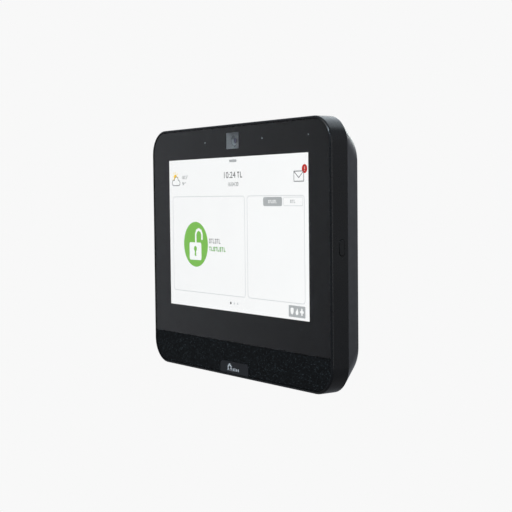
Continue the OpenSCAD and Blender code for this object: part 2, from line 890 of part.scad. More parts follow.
// Grey surround that fills the window round the barrel.
module camera_shroud() {
  wall = 0.7;
  color("darkgray")
    upright()
      translate([0, sensor_y, 0])
        difference() {
          translate([0, 0, shroud_floor_z])
            linear_extrude(glass_back_z - shroud_floor_z)
              round_rect(window_w + 2 * wall + 0.4, window_h + 2 * wall + 0.2, 1.2);
          translate([0, 0, shroud_floor_z + shroud_t])
            linear_extrude(glass_back_z)
              round_rect(window_w + 0.4, window_h + 0.2, 0.6);
          post([0, 0], shroud_floor_z - over, barrel_r + 0.2, 4);
        }
}

module microphones() {
  color("gold")
    upright()
      for (x = mic_x)
        block([x - 1.8, sensor_y - 1.3, sensor_top_z], [x + 1.8, sensor_y + 1.3, sensor_top_z + 1]);
}

module mic_boots() {
  color("black")
    upright()
      for (x = mic_x)
        difference() {
          post([x, sensor_y], sensor_top_z + 1, 1.7, glass_back_z - sensor_top_z - 1);
          post([x, sensor_y], sensor_top_z, mic_hole_r, glass_back_z);
        }
}

module light_guide() {
  color("white")
    upright() {
      post([light_x, sensor_y], sensor_top_z, 1.6, 0.8);
      post([light_x, sensor_y], sensor_top_z + 0.8, 0.9, glass_back_z - sensor_top_z - 0.8);
    }
}

// ---------------------------------------------------------------- ribbons and antennas

module display_ribbon() {
  start_z = glass_back_z - 0.7;
  back_z = board_top_z + 1.2;
  color("darkorange")
    upright()
      translate([ribbon_x[0] + 1, 0, 0])
        rotate([90, 0, 90])
          linear_extrude(ribbon_x[1] - ribbon_x[0] - 2)
            bent_strip([
              [lcd_y[0], start_z], [ribbon_turn_y + 1, start_z], [ribbon_turn_y, start_z - 1],
              [ribbon_turn_y, back_z + 1], [ribbon_turn_y + 1, back_z], [board_y[0] + 4.5, back_z]
            ], ribbon_t);
}

module camera_ribbon() {
  start_z = sensor_board_z - ribbon_t / 2;
  back_z = board_top_z + 1.2;
  color("darkorange")
    upright()
      translate([camera_ribbon_x[0], 0, 0])
        rotate([90, 0, 90])
          linear_extrude(camera_ribbon_x[1] - camera_ribbon_x[0])
            bent_strip([
              [sensor_y, start_z], [sensor_board_y[0] - 1, start_z],
              [board_y[1] + 3, back_z], [board_y[1] - 4.5, back_z]
            ], ribbon_t);
}

// Two thin antennas stuck inside the top wall.
module antennas() {
  top = body_h / 2 - frame_wall - 0.1;
  color("goldenrod")
    upright()
      for (x = [-62, 60])
        block([x - 9, top - 0.3, seam_z + lip_h + 0.6], [x + 9, top, seat_z - seat_t - 0.3]);
}

// ---------------------------------------------------------------- grille and speakers

// Flat outline of the cloth area: a straight upper edge and round lower corners.
module grille_outline(margin) {
  w = body_w - 2 * glass_side - 2 * margin;
  top = glass_bottom_y - grille_joint - margin;
  low = -body_h / 2 + glass_side + margin;
  r = corner_r - glass_side - margin;
  intersection() {
    translate([0, low + w / 4])
      round_rect(w, w / 2, r);
    translate([-w / 2, low])
      square([w, top - low]);
  }
}

// Outline of the badge tab, which rises from the rim.
module badge_outline(margin) {
  w = badge_w + 2 * margin;
  low = -body_h / 2 + glass_side;
  top = low + badge_h + margin;
  translate([0, (low + top) / 2])
    round_rect(w, top - low, badge_r);
  translate([-w / 2, low])
    square([w, badge_r]);
}

// Rows of small holes in front of each speaker.
module grille_plate() {
  rows = 5;
  columns = 13;
  mid_y = (bar_y[0] - body_h / 2 + seat_w) / 2;
  color("gray")
    upright()
      translate([0, 0, seat_z])
        difference() {
          linear_extrude(grille_plate_t)
            grille_outline(0);
          for (x = [-speaker_x, speaker_x], i = [0 : columns - 1], j = [0 : rows - 1])
            translate([x + (i - (columns - 1) / 2) * perforation_step,
                       mid_y + (j - (rows - 1) / 2) * perforation_step, -over])
              cylinder(r = perforation_r, h = grille_plate_t + 2 * over);
          for (x = [-1, 1])
            post([x * badge_peg_x, badge_peg_y], -over, badge_peg_r + 0.1, 3 * over);
        }
}

module grille_cloth() {
  color([0.1, 0.12, 0.13])
    upright()
      translate([0, 0, seat_z + grille_plate_t])
        linear_extrude(cloth_t)
          difference() {
            grille_outline(0);
            badge_outline(face_gap);
          }
}

module badge_tab() {
  low_z = seat_z + grille_plate_t;
  color("dimgray")
    upright() {
      translate([0, 0, low_z])
        linear_extrude(front_z - low_z)
          badge_outline(0);
      for (x = [-1, 1])
        post([x * badge_peg_x, badge_peg_y], seat_z - 0.8, badge_peg_r, low_z - seat_z + 0.8);
    }
}

module basket(x) {
  color("black")
    upright()
      translate([x, speaker_y, 0])
        difference() {
          union() {
            translate([0, 0, basket_floor_z])
              linear_extrude(basket_top_z - basket_floor_z)
                slot_shape(basket_size[0], basket_size[1]);
            translate([0, 0, basket_top_z - basket_flange_t])
              linear_extrude(basket_flange_t)
                round_rect(flange_size[0], flange_size[1], 4);
          }
          translate([0, 0, basket_floor_z + basket_floor_t])
            linear_extrude(basket_d)
              slot_shape(basket_size[0] - 4 * basket_wall, basket_size[1] - 4 * basket_wall);
          translate([0, 0, basket_step_z])
            linear_extrude(basket_d)
              slot_shape(basket_size[0] - 2 * basket_wall, basket_size[1] - 2 * basket_wall);
          translate([0, 0, basket_floor_z - over])
            cylinder(r = yoke_r - 0.4, h = basket_floor_t + 2 * over);
          for (end = [-1, 1])
            translate([end * speaker_screw_x, 0, basket_top_z - basket_flange_t - over])
              cylinder(r = small_screw_r[0] + screw_gap, h = basket_flange_t + 2 * over);
        }
}

// Steel cup behind the basket, with the gap that the coil moves in.
module yoke(x) {
  back = yoke_back_z;
  h = basket_floor_z - back;
  color("silver")
    upright()
      translate([x, speaker_y, back])
        difference() {
          cylinder(r = yoke_r, h = h);
          translate([0, 0, yoke_t])
            cylinder(r = yoke_r - yoke_t, h = h);
        }
}

module magnet(x) {
  color("gray")
    upright()
      post([x, speaker_y], yoke_back_z + yoke_t, magnet_r, basket_floor_z - yoke_back_z - yoke_t);
}

// Flat cone with its voice coil tube.
module diaphragm(x) {
  coil_low = yoke_back_z + yoke_t + diaphragm_travel + 0.8;
  color("darkslategray")
    upright()
      translate([x, speaker_y, 0]) {
        translate([0, 0, basket_step_z])
          linear_extrude(cone_t)
            slot_shape(cone_size[0], cone_size[1]);
        translate([0, 0, coil_low])
          difference() {
            cylinder(r = coil_r, h = basket_step_z - coil_low);
            translate([0, 0, -over])
              cylinder(r = coil_r - coil_t, h = basket_step_z - coil_low + over);
          }
      }
}

module surround(x) {
  color("black")
    upright()
      translate([x, speaker_y, basket_step_z])
        linear_extrude(cone_t)
          difference() {
            slot_shape(basket_size[0] - 2 * basket_wall, basket_size[1] - 2 * basket_wall);
            slot_shape(cone_size[0], cone_size[1]);
          }
}

module speaker_screws() {
  color("silver")
    upright()
      for (x = [-speaker_x, speaker_x], end = [-1, 1])
        screw([x + end * speaker_screw_x, speaker_y], basket_top_z - basket_flange_t,
              small_screw_r, small_head_h, basket_flange_t + 0.9);
}

// ---------------------------------------------------------------- battery

module battery_pack() {
  color("royalblue")
    upright()
      translate([battery_pos[0], battery_pos[1], battery_z])
        linear_extrude(battery_size[2])
          round_rect(battery_size[0], battery_size[1], 3);
}

module battery_strap() {
  long = battery_size[1] + 17;
  color("silver")
    upright()
      translate([strap_x, battery_pos[1], strap_z])
        difference() {
          linear_extrude(strap_t)
            round_rect(strap_w, long, 3);
          for (spot = strap_spots)
            post([0, spot[1] - battery_pos[1]], -over, small_screw_r[0] + screw_gap, strap_t + 2 * over);
        }
}

// Screws come from the front here, so each is drawn head up.
module strap_screws() {
  color("silver")
    upright()
      for (spot = strap_spots) {
        post(spot, strap_z + strap_t, small_screw_r[1], small_head_h);
        post(spot, strap_z - 5, small_screw_r[0], 5 + strap_t + small_head_h / 2);
      }
}

// Two short wires from the pack to its plug on the main board.
module battery_lead() {
  start = battery_pos[0] + battery_size[0] / 2;
  finish = board_x[0] + 0.5;
  color("crimson")
    upright()
      for (y = [-1, 1])
        translate([start, plug_y + y * 1.2, board_back_z - 2.4])
          rotate([0, 90, 0])
            cylinder(r = 0.7, h = finish - start);
}

// ---------------------------------------------------------------- terminals

module terminal_block() {
  color("seagreen")
    upright()
      difference() {
        block([-terminal_w / 2, terminal_y[0], terminal_back_z],
              [terminal_w / 2, terminal_y[1], board_back_z]);
        for (spot = terminal_spots) {
          post(spot, terminal_back_z - over, 1.75, 3 + over);
          block([spot[0] - 1.6, terminal_y[0] - over, terminal_back_z + 1],
                [spot[0] + 1.6, terminal_y[0] + 2, terminal_back_z + 4]);
        }
      }
}

module terminal_screws() {
  slot_w = 0.5;
  head_z = terminal_back_z + 0.6;
  color("silver")
    upright()
      for (spot = terminal_spots)
        difference() {
          post(spot, head_z, 1.6, 2.4);
          block([spot[0] - 2, terminal_mid - slot_w / 2, head_z - over],
                [spot[0] + 2, terminal_mid + slot_w / 2, head_z + 0.6]);
        }
}

// ---------------------------------------------------------------- tamper switch

module tamper_switch() {
  color("black")
    upright()
      difference() {
        block([tamper_pos[0] - 3.2, tamper_pos[1] - 3.2, tamper_back_z],
              [tamper_pos[0] + 3.2, tamper_pos[1] + 3.2, board_back_z]);
        post(tamper_pos, tamper_back_z - over, stem_r + 0.2, over + 1.2);
      }
}

// Plunger: a tip that rides on the ramp, a collar that keeps it in and a stem into the switch.
module tamper_plunger() {
  top = tamper_back_z + 1;
  color("ivory")
    upright()
      translate([tamper_pos[0], tamper_pos[1], 0])
        rotate_extrude()
          polygon([[0, tip_z], [plunger_r * 0.3, tip_z], [plunger_r, tip_z + 1], [plunger_r, collar_z],
                   [collar_r, collar_z], [collar_r, collar_z + collar_t], [stem_r, collar_z + collar_t],
                   [stem_r, top], [0, top]]);
}

// One ring of points round the spring wire, at a turn of the helix.
function spring_ring(turn, pitch) =
  let (a = 360 * turn, wire = spring_size[0], coil = spring_size[1])
  [for (i = [0 : 7])
    let (b = 45 * i, reach = coil + wire * cos(b))
    [reach * cos(a), reach * sin(a), turn * pitch + wire * sin(b)]];

module tamper_spring() {
  wire = spring_size[0];
  turns = spring_size[2];
  low = collar_z + collar_t + wire + 0.02;
  high = tamper_back_z - wire - 0.02;
  pitch = (high - low) / turns;
  steps = 20 * turns;
  points = [for (s = [0 : steps]) each spring_ring(s / 20, pitch)];
  sides = [for (s = [0 : steps - 1], i = [0 : 7])
    let (j = (i + 1) % 8)
    [8 * s + i, 8 * (s + 1) + i, 8 * (s + 1) + j, 8 * s + j]];
  first = [for (i = [0 : 7]) i];
  last = [for (i = [7 : -1 : 0]) 8 * steps + i];
  color("silver")
    upright()
      translate([tamper_pos[0], tamper_pos[1], low])
        polyhedron(points, concat([first], sides, [last]), convexity = 6);
}

// ---------------------------------------------------------------- side button

module power_button() {
  color("dimgray")
    upright()
      translate([0, button_y, button_z])
        rotate([90, 0, 90]) {
          translate([0, 0, inner_x - face_gap - flange_t / 2])
            linear_extrude(frame_wall + face_gap + flange_t / 2 + button_proud)
              slot_shape(button_l, button_w);
          translate([0, 0, inner_x - face_gap - flange_t])
            linear_extrude(flange_t)
              slot_shape(button_l + 1.8, button_w + 1.4);
          translate([0, 0, post_end_x])
            cylinder(r = 1, h = inner_x - face_gap - flange_t - post_end_x + 0.1);
        }
}

module button_switch() {
  color("silver")
    upright() {
      block([switch_x, button_y - 3, board_top_z], [nub_x - nub_l, button_y + 3, board_top_z + 3.2]);
      translate([nub_x - nub_l - 0.2, button_y, button_z])
        rotate([0, 90, 0])
          cylinder(r = 0.8, h = nub_l + 0.2);
    }
}

// ---------------------------------------------------------------- all pieces

wall_plate();
front_frame();
rear_cover();
touch_glass();
glass_tape();
lcd_panel();
backlight_tray();
chassis_plate();
chassis_screws();
main_board();
board_screws();
processor_shield();
radio_shield();
board_parts();
sensor_board();
sensor_screws();
camera_holder();
camera_barrel();
camera_lens();
camera_shroud();
microphones();
mic_boots();
light_guide();
display_ribbon();
camera_ribbon();
antennas();
grille_plate();
grille_cloth();
badge_tab();
basket(-speaker_x);  // left_basket
yoke(-speaker_x);  // left_yoke
magnet(-speaker_x);  // left_magnet
diaphragm(-speaker_x);  // left_diaphragm
surround(-speaker_x);  // left_surround
basket(speaker_x);  // right_basket
yoke(speaker_x);  // right_yoke
magnet(speaker_x);  // right_magnet
diaphragm(speaker_x);  // right_diaphragm
surround(speaker_x);  // right_surround
speaker_screws();
battery_pack();
battery_strap();
strap_screws();
battery_lead();
terminal_block();
terminal_screws();
tamper_switch();
tamper_plunger();
tamper_spring();
power_button();
button_switch();
housing_screws();
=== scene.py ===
# %% [markdown]
# # An alarm keypad panel
# A 7 inch touch screen in a two-part black housing hangs on hooks on a wall plate. This notebook
# takes the measured frame of the panel and gives every piece its real surface, then lights it.
# The frame and the textures are in metres. Outlines and heights are in millimetres, and MM turns
# them into metres. +Z is up, the screen faces -Y and the wall is the plane Y = 0.

# %% Load the measured frame
import json
import math

import bmesh
import bpy
from mathutils import Matrix, Vector


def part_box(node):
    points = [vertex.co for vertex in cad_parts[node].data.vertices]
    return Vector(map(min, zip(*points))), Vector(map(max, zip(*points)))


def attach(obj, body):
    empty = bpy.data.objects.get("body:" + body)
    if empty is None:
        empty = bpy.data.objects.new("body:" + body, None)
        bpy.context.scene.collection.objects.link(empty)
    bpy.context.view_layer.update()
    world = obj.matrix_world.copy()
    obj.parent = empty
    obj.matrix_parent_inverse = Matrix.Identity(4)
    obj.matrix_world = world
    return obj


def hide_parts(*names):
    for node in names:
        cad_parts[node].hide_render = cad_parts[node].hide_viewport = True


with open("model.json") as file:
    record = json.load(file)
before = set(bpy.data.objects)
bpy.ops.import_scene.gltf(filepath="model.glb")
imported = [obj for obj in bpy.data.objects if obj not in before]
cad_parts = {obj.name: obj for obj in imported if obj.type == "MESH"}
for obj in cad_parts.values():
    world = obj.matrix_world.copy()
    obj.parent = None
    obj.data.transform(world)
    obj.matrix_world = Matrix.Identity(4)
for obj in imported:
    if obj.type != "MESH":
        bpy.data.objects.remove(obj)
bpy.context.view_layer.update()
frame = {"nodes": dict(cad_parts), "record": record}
node = frame["nodes"]
finish_of = {row["node"]: row["material_slot"] for row in frame["record"]["subparts"]}
MM = 0.001

# %% [markdown]
# ## Small helpers
# Every finish and every Geometry Nodes tree here is a graph of nodes. `grow` adds one node to a
# graph: plain values go into its sockets, and another node's output is linked. It keeps the cells
# below short enough to read as a recipe.

# %% Add one node to a graph
def grow(graph, kind, inputs=None, **settings):
    made = graph.nodes.new(kind)
    for key, value in settings.items():
        setattr(made, key, value)
    for key, value in (inputs or {}).items():
        if isinstance(value, bpy.types.NodeSocket):
            graph.links.new(value, made.inputs[key])
        else:
            made.inputs[key].default_value = value
    return made


def math_node(graph, how, a, b=0.0, c=0.0):
    return grow(graph, "ShaderNodeMath", {0: a, 1: b, 2: c}, operation=how).outputs[0]


def blend_colours(graph, factor, a, b, how="MIX"):
    made = grow(graph, "ShaderNodeMix", {0: factor, 6: a, 7: b}, data_type="RGBA", blend_type=how)
    return made.outputs[2]


def ramp(graph, value, stops):
    made = grow(graph, "ShaderNodeValToRGB", {0: value})
    band = made.color_ramp
    while len(band.elements) < len(stops):
        band.elements.new(0.5)
    for element, (place, colour) in zip(band.elements, stops):
        element.position = place
        element.color = (*colour, 1)
    return made.outputs[0]


def new_finish(name):
    made = bpy.data.materials.new(name)
    made.use_nodes = True
    graph = made.node_tree
    graph.nodes.clear()
    shader = grow(graph, "ShaderNodeBsdfPrincipled")
    out = grow(graph, "ShaderNodeOutputMaterial")
    graph.links.new(shader.outputs[0], out.inputs[0])
    place = grow(graph, "ShaderNodeTexCoord").outputs["Object"]
    return made, graph, shader, place


def speckle(graph, place, size, detail=2.0, stretch=(1, 1, 1)):
    """Noise with spots of about the given size in metres."""
    mapped = place
    if stretch != (1, 1, 1):
        mapped = grow(graph, "ShaderNodeMapping", {"Vector": place, "Scale": stretch}).outputs[0]
    made = grow(graph, "ShaderNodeTexNoise",
                {"Vector": mapped, "Scale": 1 / size, "Detail": detail, "Roughness": 0.5})
    return made.outputs[0]


def relief(graph, shader, height, depth, strength=1.0):
    """Lets a pattern stand up from the surface by depth metres."""
    made = grow(graph, "ShaderNodeBump", {"Height": height, "Distance": depth, "Strength": strength})
    graph.links.new(made.outputs[0], shader.inputs["Normal"])


def spread(graph, value, low, high):
    """Noise keeps near its middle, so the range 0.3 to 0.7 is spread from low to high."""
    made = grow(graph, "ShaderNodeMapRange", {0: value, 1: 0.3, 2: 0.7, 3: low, 4: high})
    return made.outputs[0]


print("helpers ready")

# %% [markdown]
# ## Moulded plastics
# The housing is injection moulded. Its mould was spark eroded, which leaves a fine even grain of
# about a fifth of a millimetre that breaks up the reflections. A noise texture read in Object
# coordinates gives that grain as a bump, a wider noise shifts the tone a little, as resin flow
# does, and a third one varies the roughness, as handling does.

# %% Plastics
def moulded(name, colour, rough, grain=0.00022, depth=0.00001, tone=0.12, level=0.5):
    made, graph, shader, place = new_finish(name)
    wide = speckle(graph, place, 0.018, 3)
    dark = tuple(c * (1 - tone) for c in colour)
    light = tuple(c * (1 + tone) for c in colour)
    graph.links.new(ramp(graph, wide, [(0.3, dark), (0.7, light)]), shader.inputs["Base Color"])
    handled = speckle(graph, place, 0.006, 4)
    graph.links.new(spread(graph, handled, rough - 0.04, rough + 0.05), shader.inputs["Roughness"])
    relief(graph, shader, speckle(graph, place, grain, 2), depth)
    shader.inputs["Specular IOR Level"].default_value = level
    made.diffuse_color = (*colour, 1)
    return made


finishes = {
    "frame_plastic": moulded("front_housing_plastic", (0.0105, 0.0113, 0.0125), 0.27, 0.00022, 0.000004),
    "cover_plastic": moulded("rear_housing_plastic", (0.0120, 0.0130, 0.0145), 0.38),
    "plate_plastic": moulded("wall_plate_plastic", (0.030, 0.031, 0.033), 0.55),
    "button_plastic": moulded("button_plastic", (0.0100, 0.0105, 0.0115), 0.40),
    "badge_plastic": moulded("badge_plastic", (0.020, 0.021, 0.024), 0.34),
    "display": moulded("display_panel", (0.016, 0.017, 0.020), 0.25, 0.0003, 0.000002, 0.06),
    "black_parts": moulded("component_epoxy", (0.013, 0.013, 0.014), 0.5, depth=0.00002),
    "shroud_grey": moulded("camera_mask_grey", (0.50, 0.525, 0.535), 0.55),
    "boot_rubber": moulded("boot_rubber", (0.018, 0.018, 0.018), 0.72, 0.0003, 0.00002),
    "terminal_green": moulded("terminal_green", (0.02, 0.20, 0.07), 0.42),
    "plunger_nylon": moulded("plunger_nylon", (0.62, 0.60, 0.52), 0.45),
    "tape": moulded("foam_tape", (0.010, 0.010, 0.010), 0.9, 0.0004, 0.00006),
    "magnet": moulded("ferrite_magnet", (0.045, 0.045, 0.048), 0.6, 0.0002, 0.00003),
}
print("plastics:", len(finishes))

# %% [markdown]
# ## Metals
# Sheet steel is rolled, so its grain runs one way. The same noise does it when it is stretched
# along one axis. Tin plate is finer and brighter, gold is only a flash on the contacts.

# %% Metals
def metal(name, colour, rough, stretch=(1, 1, 1)):
    made, graph, shader, place = new_finish(name)
    grain = speckle(graph, place, 0.0006, 3, stretch)
    dark = tuple(c * 0.86 for c in colour)
    graph.links.new(ramp(graph, grain, [(0.25, dark), (0.75, colour)]), shader.inputs["Base Color"])
    graph.links.new(spread(graph, grain, rough - 0.07, rough + 0.08), shader.inputs["Roughness"])
    shader.inputs["Metallic"].default_value = 1.0
    relief(graph, shader, grain, 0.000004)
    made.diffuse_color = (*colour, 1)
    return made


finishes.update({
    "steel": metal("rolled_steel", (0.52, 0.53, 0.54), 0.36, (0.06, 1, 1)),
    "screw_steel": metal("zinc_screw_steel", (0.50, 0.50, 0.49), 0.30),
    "tin_plate": metal("tin_plate", (0.66, 0.67, 0.67), 0.24, (1, 1, 0.1)),
    "gold": metal("gold_flash", (0.78, 0.56, 0.22), 0.25),
    "grille_steel": metal("blackened_steel", (0.035, 0.035, 0.036), 0.5),
    "spring_steel": metal("spring_steel", (0.46, 0.47, 0.48), 0.26),
})
print("with metals:", len(finishes))

# %% [markdown]
# ## Boards, flexes, battery and cones
# A circuit board is glass cloth under green lacquer. The copper tracks under the lacquer show as
# paler lines, which run across or up in patches. Voronoi cells choose the direction for each
# patch, wave bands draw the tracks, and small Voronoi dots are the plated holes.

# %% Board lacquer with tracks and plated holes
def board_finish():
    made, graph, shader, place = new_finish("board_lacquer")
    flat = grow(graph, "ShaderNodeMapping", {"Vector": place, "Scale": (1, 0, 1)}).outputs[0]
    patch = grow(graph, "ShaderNodeTexVoronoi", {"Vector": flat, "Scale": 1 / 0.009},
                 distance="CHEBYCHEV").outputs["Color"]
    chance = grow(graph, "ShaderNodeSeparateColor", {0: patch}).outputs[0]
    pick = math_node(graph, "GREATER_THAN", chance, 0.5)
    bands = [grow(graph, "ShaderNodeTexWave", {"Vector": flat, "Scale": 1 / 0.0045, "Distortion": 0.0},
                  bands_direction=way).outputs["Fac"] for way in ("X", "Z")]
    mixed = grow(graph, "ShaderNodeMix", {0: pick, 2: bands[0], 3: bands[1]}).outputs[0]
    track = math_node(graph, "GREATER_THAN", mixed, 0.62)
    green = blend_colours(graph, track, (0.004, 0.058, 0.022, 1), (0.010, 0.120, 0.045, 1))
    dots = grow(graph, "ShaderNodeTexVoronoi", {"Vector": flat, "Scale": 1 / 0.0052}).outputs["Distance"]
    hole = math_node(graph, "LESS_THAN", dots, 0.085)
    plated = blend_colours(graph, hole, green, (0.70, 0.50, 0.20, 1))
    graph.links.new(plated, shader.inputs["Base Color"])
    graph.links.new(hole, shader.inputs["Metallic"])
    relief(graph, shader, track, 0.00002, 0.6)
    shader.inputs["Roughness"].default_value = 0.30
    return made


finishes["board_green"] = board_finish()
print("board finish:", finishes["board_green"].name)

# %% Flexes, films, battery wrap, wires and speaker paper
def film(name, colour, rough, scale):
    """A thin film with parallel tracks across its length."""
    made, graph, shader, place = new_finish(name)
    mapped = grow(graph, "ShaderNodeMapping", {"Vector": place, "Scale": (1, 0, 0)}).outputs[0]
    band = grow(graph, "ShaderNodeTexWave", {"Vector": mapped, "Scale": scale, "Distortion": 0.0},
                bands_direction="X").outputs["Fac"]
    low = tuple(c * 0.7 for c in colour)
    graph.links.new(ramp(graph, band, [(0.35, low), (0.65, colour)]), shader.inputs["Base Color"])
    relief(graph, shader, band, 0.00001)
    shader.inputs["Roughness"].default_value = rough
    return made


finishes["flex"] = film("polyimide_flex", (0.42, 0.16, 0.03), 0.32, 200)
finishes["battery"] = moulded("battery_wrap", (0.020, 0.075, 0.24), 0.28, 0.004, 0.00008, 0.25)
finishes["red_wire"] = moulded("wire_cover", (0.36, 0.012, 0.010), 0.35)
finishes["clear_plastic"] = moulded("light_guide", (0.55, 0.58, 0.60), 0.15)
clear = finishes["clear_plastic"].node_tree.nodes["Principled BSDF"]
clear.inputs["Transmission Weight"].default_value = 0.85
finishes["cone"] = moulded("cone_paper", (0.020, 0.020, 0.022), 0.85, 0.0006, 0.00005, 0.3)
print("with boards and films:", len(finishes))

# %% [markdown]
# ## Glass
# The cover glass is 1.1 mm of clear glass with black ink printed on its back. An anti-glare
# coating scatters the reflection a little and weakens it, so the specular level is low and the
# roughness isn't zero. The camera lens is the same glass with a violet coating.

# %% Glass and ink
def glass(name, colour, rough, level):
    made, graph, shader, place = new_finish(name)
    streak = speckle(graph, place, 0.03, 3)
    graph.links.new(spread(graph, streak, rough * 0.8, rough * 1.2), shader.inputs["Roughness"])
    light = tuple(c * 0.985 for c in colour)
    graph.links.new(ramp(graph, streak, [(0.3, light), (0.7, colour)]), shader.inputs["Base Color"])
    shader.inputs["Transmission Weight"].default_value = 1.0
    shader.inputs["IOR"].default_value = 1.5
    shader.inputs["Specular IOR Level"].default_value = level
    return made


finishes["cover_glass"] = glass("cover_glass", (0.985, 0.99, 0.988), 0.018, 0.42)
finishes["lens_glass"] = glass("lens_glass", (0.80, 0.76, 0.95), 0.02, 0.9)
finishes["glass_ink"] = moulded("glass_ink", (0.0062, 0.0065, 0.0070), 0.5, 0.0004, 0.000002, 0.1, 0.2)
print("all finishes:", len(finishes))

# %% [markdown]
# ## Dress the frame
# Every CAD node is already the right shape and size, so most keep their mesh and only get the
# finish that the record names for them. Nodes that need more detail are replaced further down.

# %% Give each node its finish
def dress(obj, finish):
    obj.data.materials.clear()
    obj.data.materials.append(finish)


for name, obj in node.items():
    if finish_of[name] in finishes:
        dress(obj, finishes[finish_of[name]])
print("dressed:", sum(finish_of[n] in finishes for n in node))

# %% [markdown]
# ## Flat artwork
# The ink on the glass and the picture on the screen are flat shapes with holes. Blender's 2D
# curves fill such shapes on their own, however many holes they have, so each one is drawn as
# closed outlines, filled, given a hair of thickness and stood up at its height above the wall.

# %% Outlines as lists of points
def rounded(x0, y0, x1, y1, r=0.0, steps=8):
    if r <= 0:
        return [(x0, y0), (x1, y0), (x1, y1), (x0, y1)]
    points = []
    for cx, cy, turn in ((x1 - r, y0 + r, -90), (x1 - r, y1 - r, 0),
                         (x0 + r, y1 - r, 90), (x0 + r, y0 + r, 180)):
        for i in range(steps + 1):
            a = math.radians(turn + 90 * i / steps)
            points.append((cx + r * math.cos(a), cy + r * math.sin(a)))
    return points


def disc(cx, cy, r, steps=48):
    turn = [math.tau * i / steps for i in range(steps)]
    return [(cx + r * math.cos(a), cy + r * math.sin(a)) for a in turn]


def border(x0, y0, x1, y1, r, w):
    """A frame of width w, as an outer outline and a hole."""
    inner = rounded(x0 + w, y0 + w, x1 - w, y1 - w, max(r - w, 0))
    return [rounded(x0, y0, x1, y1, r), inner[::-1]]


def stroke(points, w, closed=False):
    """A line of width w through the points, with mitred corners."""
    n = len(points)
    left, right = [], []
    for i, p in enumerate(points):
        before = points[i - 1] if i or closed else None
        after = points[(i + 1) % n] if i < n - 1 or closed else None
        ways = [Vector((b[0] - a[0], b[1] - a[1])).normalized()
                for a, b in ((before, p), (p, after)) if a is not None and b is not None]
        way = sum(ways, Vector((0, 0))).normalized()
        reach = w / 2 / max(way.dot(ways[0]), 0.35)
        side = Vector((-way.y, way.x)) * reach
        left.append((p[0] + side.x, p[1] + side.y))
        right.append((p[0] - side.x, p[1] - side.y))
    return [left, right[::-1]] if closed else [left + right[::-1]]


def arc(cx, cy, r, start, end, steps=20):
    turn = [math.radians(start + (end - start) * i / steps) for i in range(steps + 1)]
    return [(cx + r * math.cos(a), cy + r * math.sin(a)) for a in turn]


print("outlines ready, a disc has", len(disc(0, 0, 1)), "points")

# %% Fill outlines into thin plates
def placed(name, data):
    made = bpy.data.objects.new(name, data)
    bpy.context.collection.objects.link(made)
    return made


def settled(holder):
    """The plain mesh of a curve, a text or an object with modifiers, which is then dropped."""
    depsgraph = bpy.context.evaluated_depsgraph_get()
    mesh = bpy.data.meshes.new_from_object(holder.evaluated_get(depsgraph))
    bpy.data.objects.remove(holder)
    return mesh


def filled(outlines, low, high):
    """A plate cut to the outlines, in mm. It faces the room between two heights above the wall."""
    curve = bpy.data.curves.new("cut", "CURVE")
    curve.dimensions = "2D"
    curve.fill_mode = "BOTH"
    curve.extrude = (high - low) / 2 * MM
    for outline in outlines:
        line = curve.splines.new("POLY")
        line.points.add(len(outline) - 1)
        for point, (x, y) in zip(line.points, outline):
            point.co = (x * MM, y * MM, 0, 1)
        line.use_cyclic_u = True
    mesh = settled(placed("cut", curve))
    bpy.data.curves.remove(curve)
    stand = Matrix.Translation((0, -(low + high) / 2 * MM, 0)) @ Matrix.Rotation(math.radians(90), 4, "X")
    mesh.transform(stand)
    return mesh


def seat(piece, body, replaces):
    """Hangs a piece on the body it rides on and hides the nodes it stands for."""
    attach(piece, body)
    if replaces:
        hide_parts(*replaces)
    print(piece.name, "faces", len(piece.data.polygons))
    return piece


def gather(name, parts, body, replaces=()):
    """Joins (mesh, finish) pairs into one piece that rides on a body."""
    whole = bmesh.new()
    mesh = bpy.data.meshes.new(name)
    for part, finish in parts:
        if finish.name not in mesh.materials:
            mesh.materials.append(finish)
        index = list(mesh.materials).index(finish)
        first = len(whole.faces)
        whole.from_mesh(part)
        whole.faces.ensure_lookup_table()
        for face in whole.faces[first:]:
            face.material_index = index
    bmesh.ops.remove_doubles(whole, verts=whole.verts, dist=1e-7)
    bmesh.ops.recalc_face_normals(whole, faces=whole.faces)
    whole.to_mesh(mesh)
    whole.free()
    return seat(placed(name, mesh), body, replaces)


print("artwork tools ready")

# %% [markdown]
# ## The cover glass and its ink
# The glass is one plate over the whole upper front, with two tiny holes for the microphones. Its
# front edge is ground to a small bevel, which is what catches a thin line of light. The ink is a
# separate layer on the back of the glass. It is left open for the screen, the camera and the light
# sensor, so everything that shows through is really behind the glass.

# %% Sizes taken from the frame
def span(name):
    low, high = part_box(name)
    return [v / MM for v in (*low, *high)]


def height(name):
    """Lowest and highest face of a node above the wall, in mm."""
    low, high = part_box(name)
    return -high[1] / MM, -low[1] / MM


glass_x0, _, glass_z0, glass_x1, _, glass_z1 = span("touch_glass")
glass_low, glass_high = height("touch_glass")
lcd_x0, _, lcd_z0, lcd_x1, _, lcd_z1 = span("lcd_panel")
lit_edge, lit_foot = 3.0, 7.8
lit_x0, lit_x1 = lcd_x0 + lit_edge, lcd_x1 - lit_edge
lit_z0, lit_z1 = lcd_z0 + lit_foot, lcd_z1 - lit_edge
row_z = (span("camera_lens")[2] + span("camera_lens")[5]) / 2
light_x = (span("light_guide")[0] + span("light_guide")[3]) / 2
mic_x = [-30.3, 31.8]
corner = 13.95
wide, tall = lit_x1 - lit_x0, lit_z1 - lit_z0
print("lit area", round(wide, 2), "x", round(tall, 2), "camera row at", round(row_z, 2))


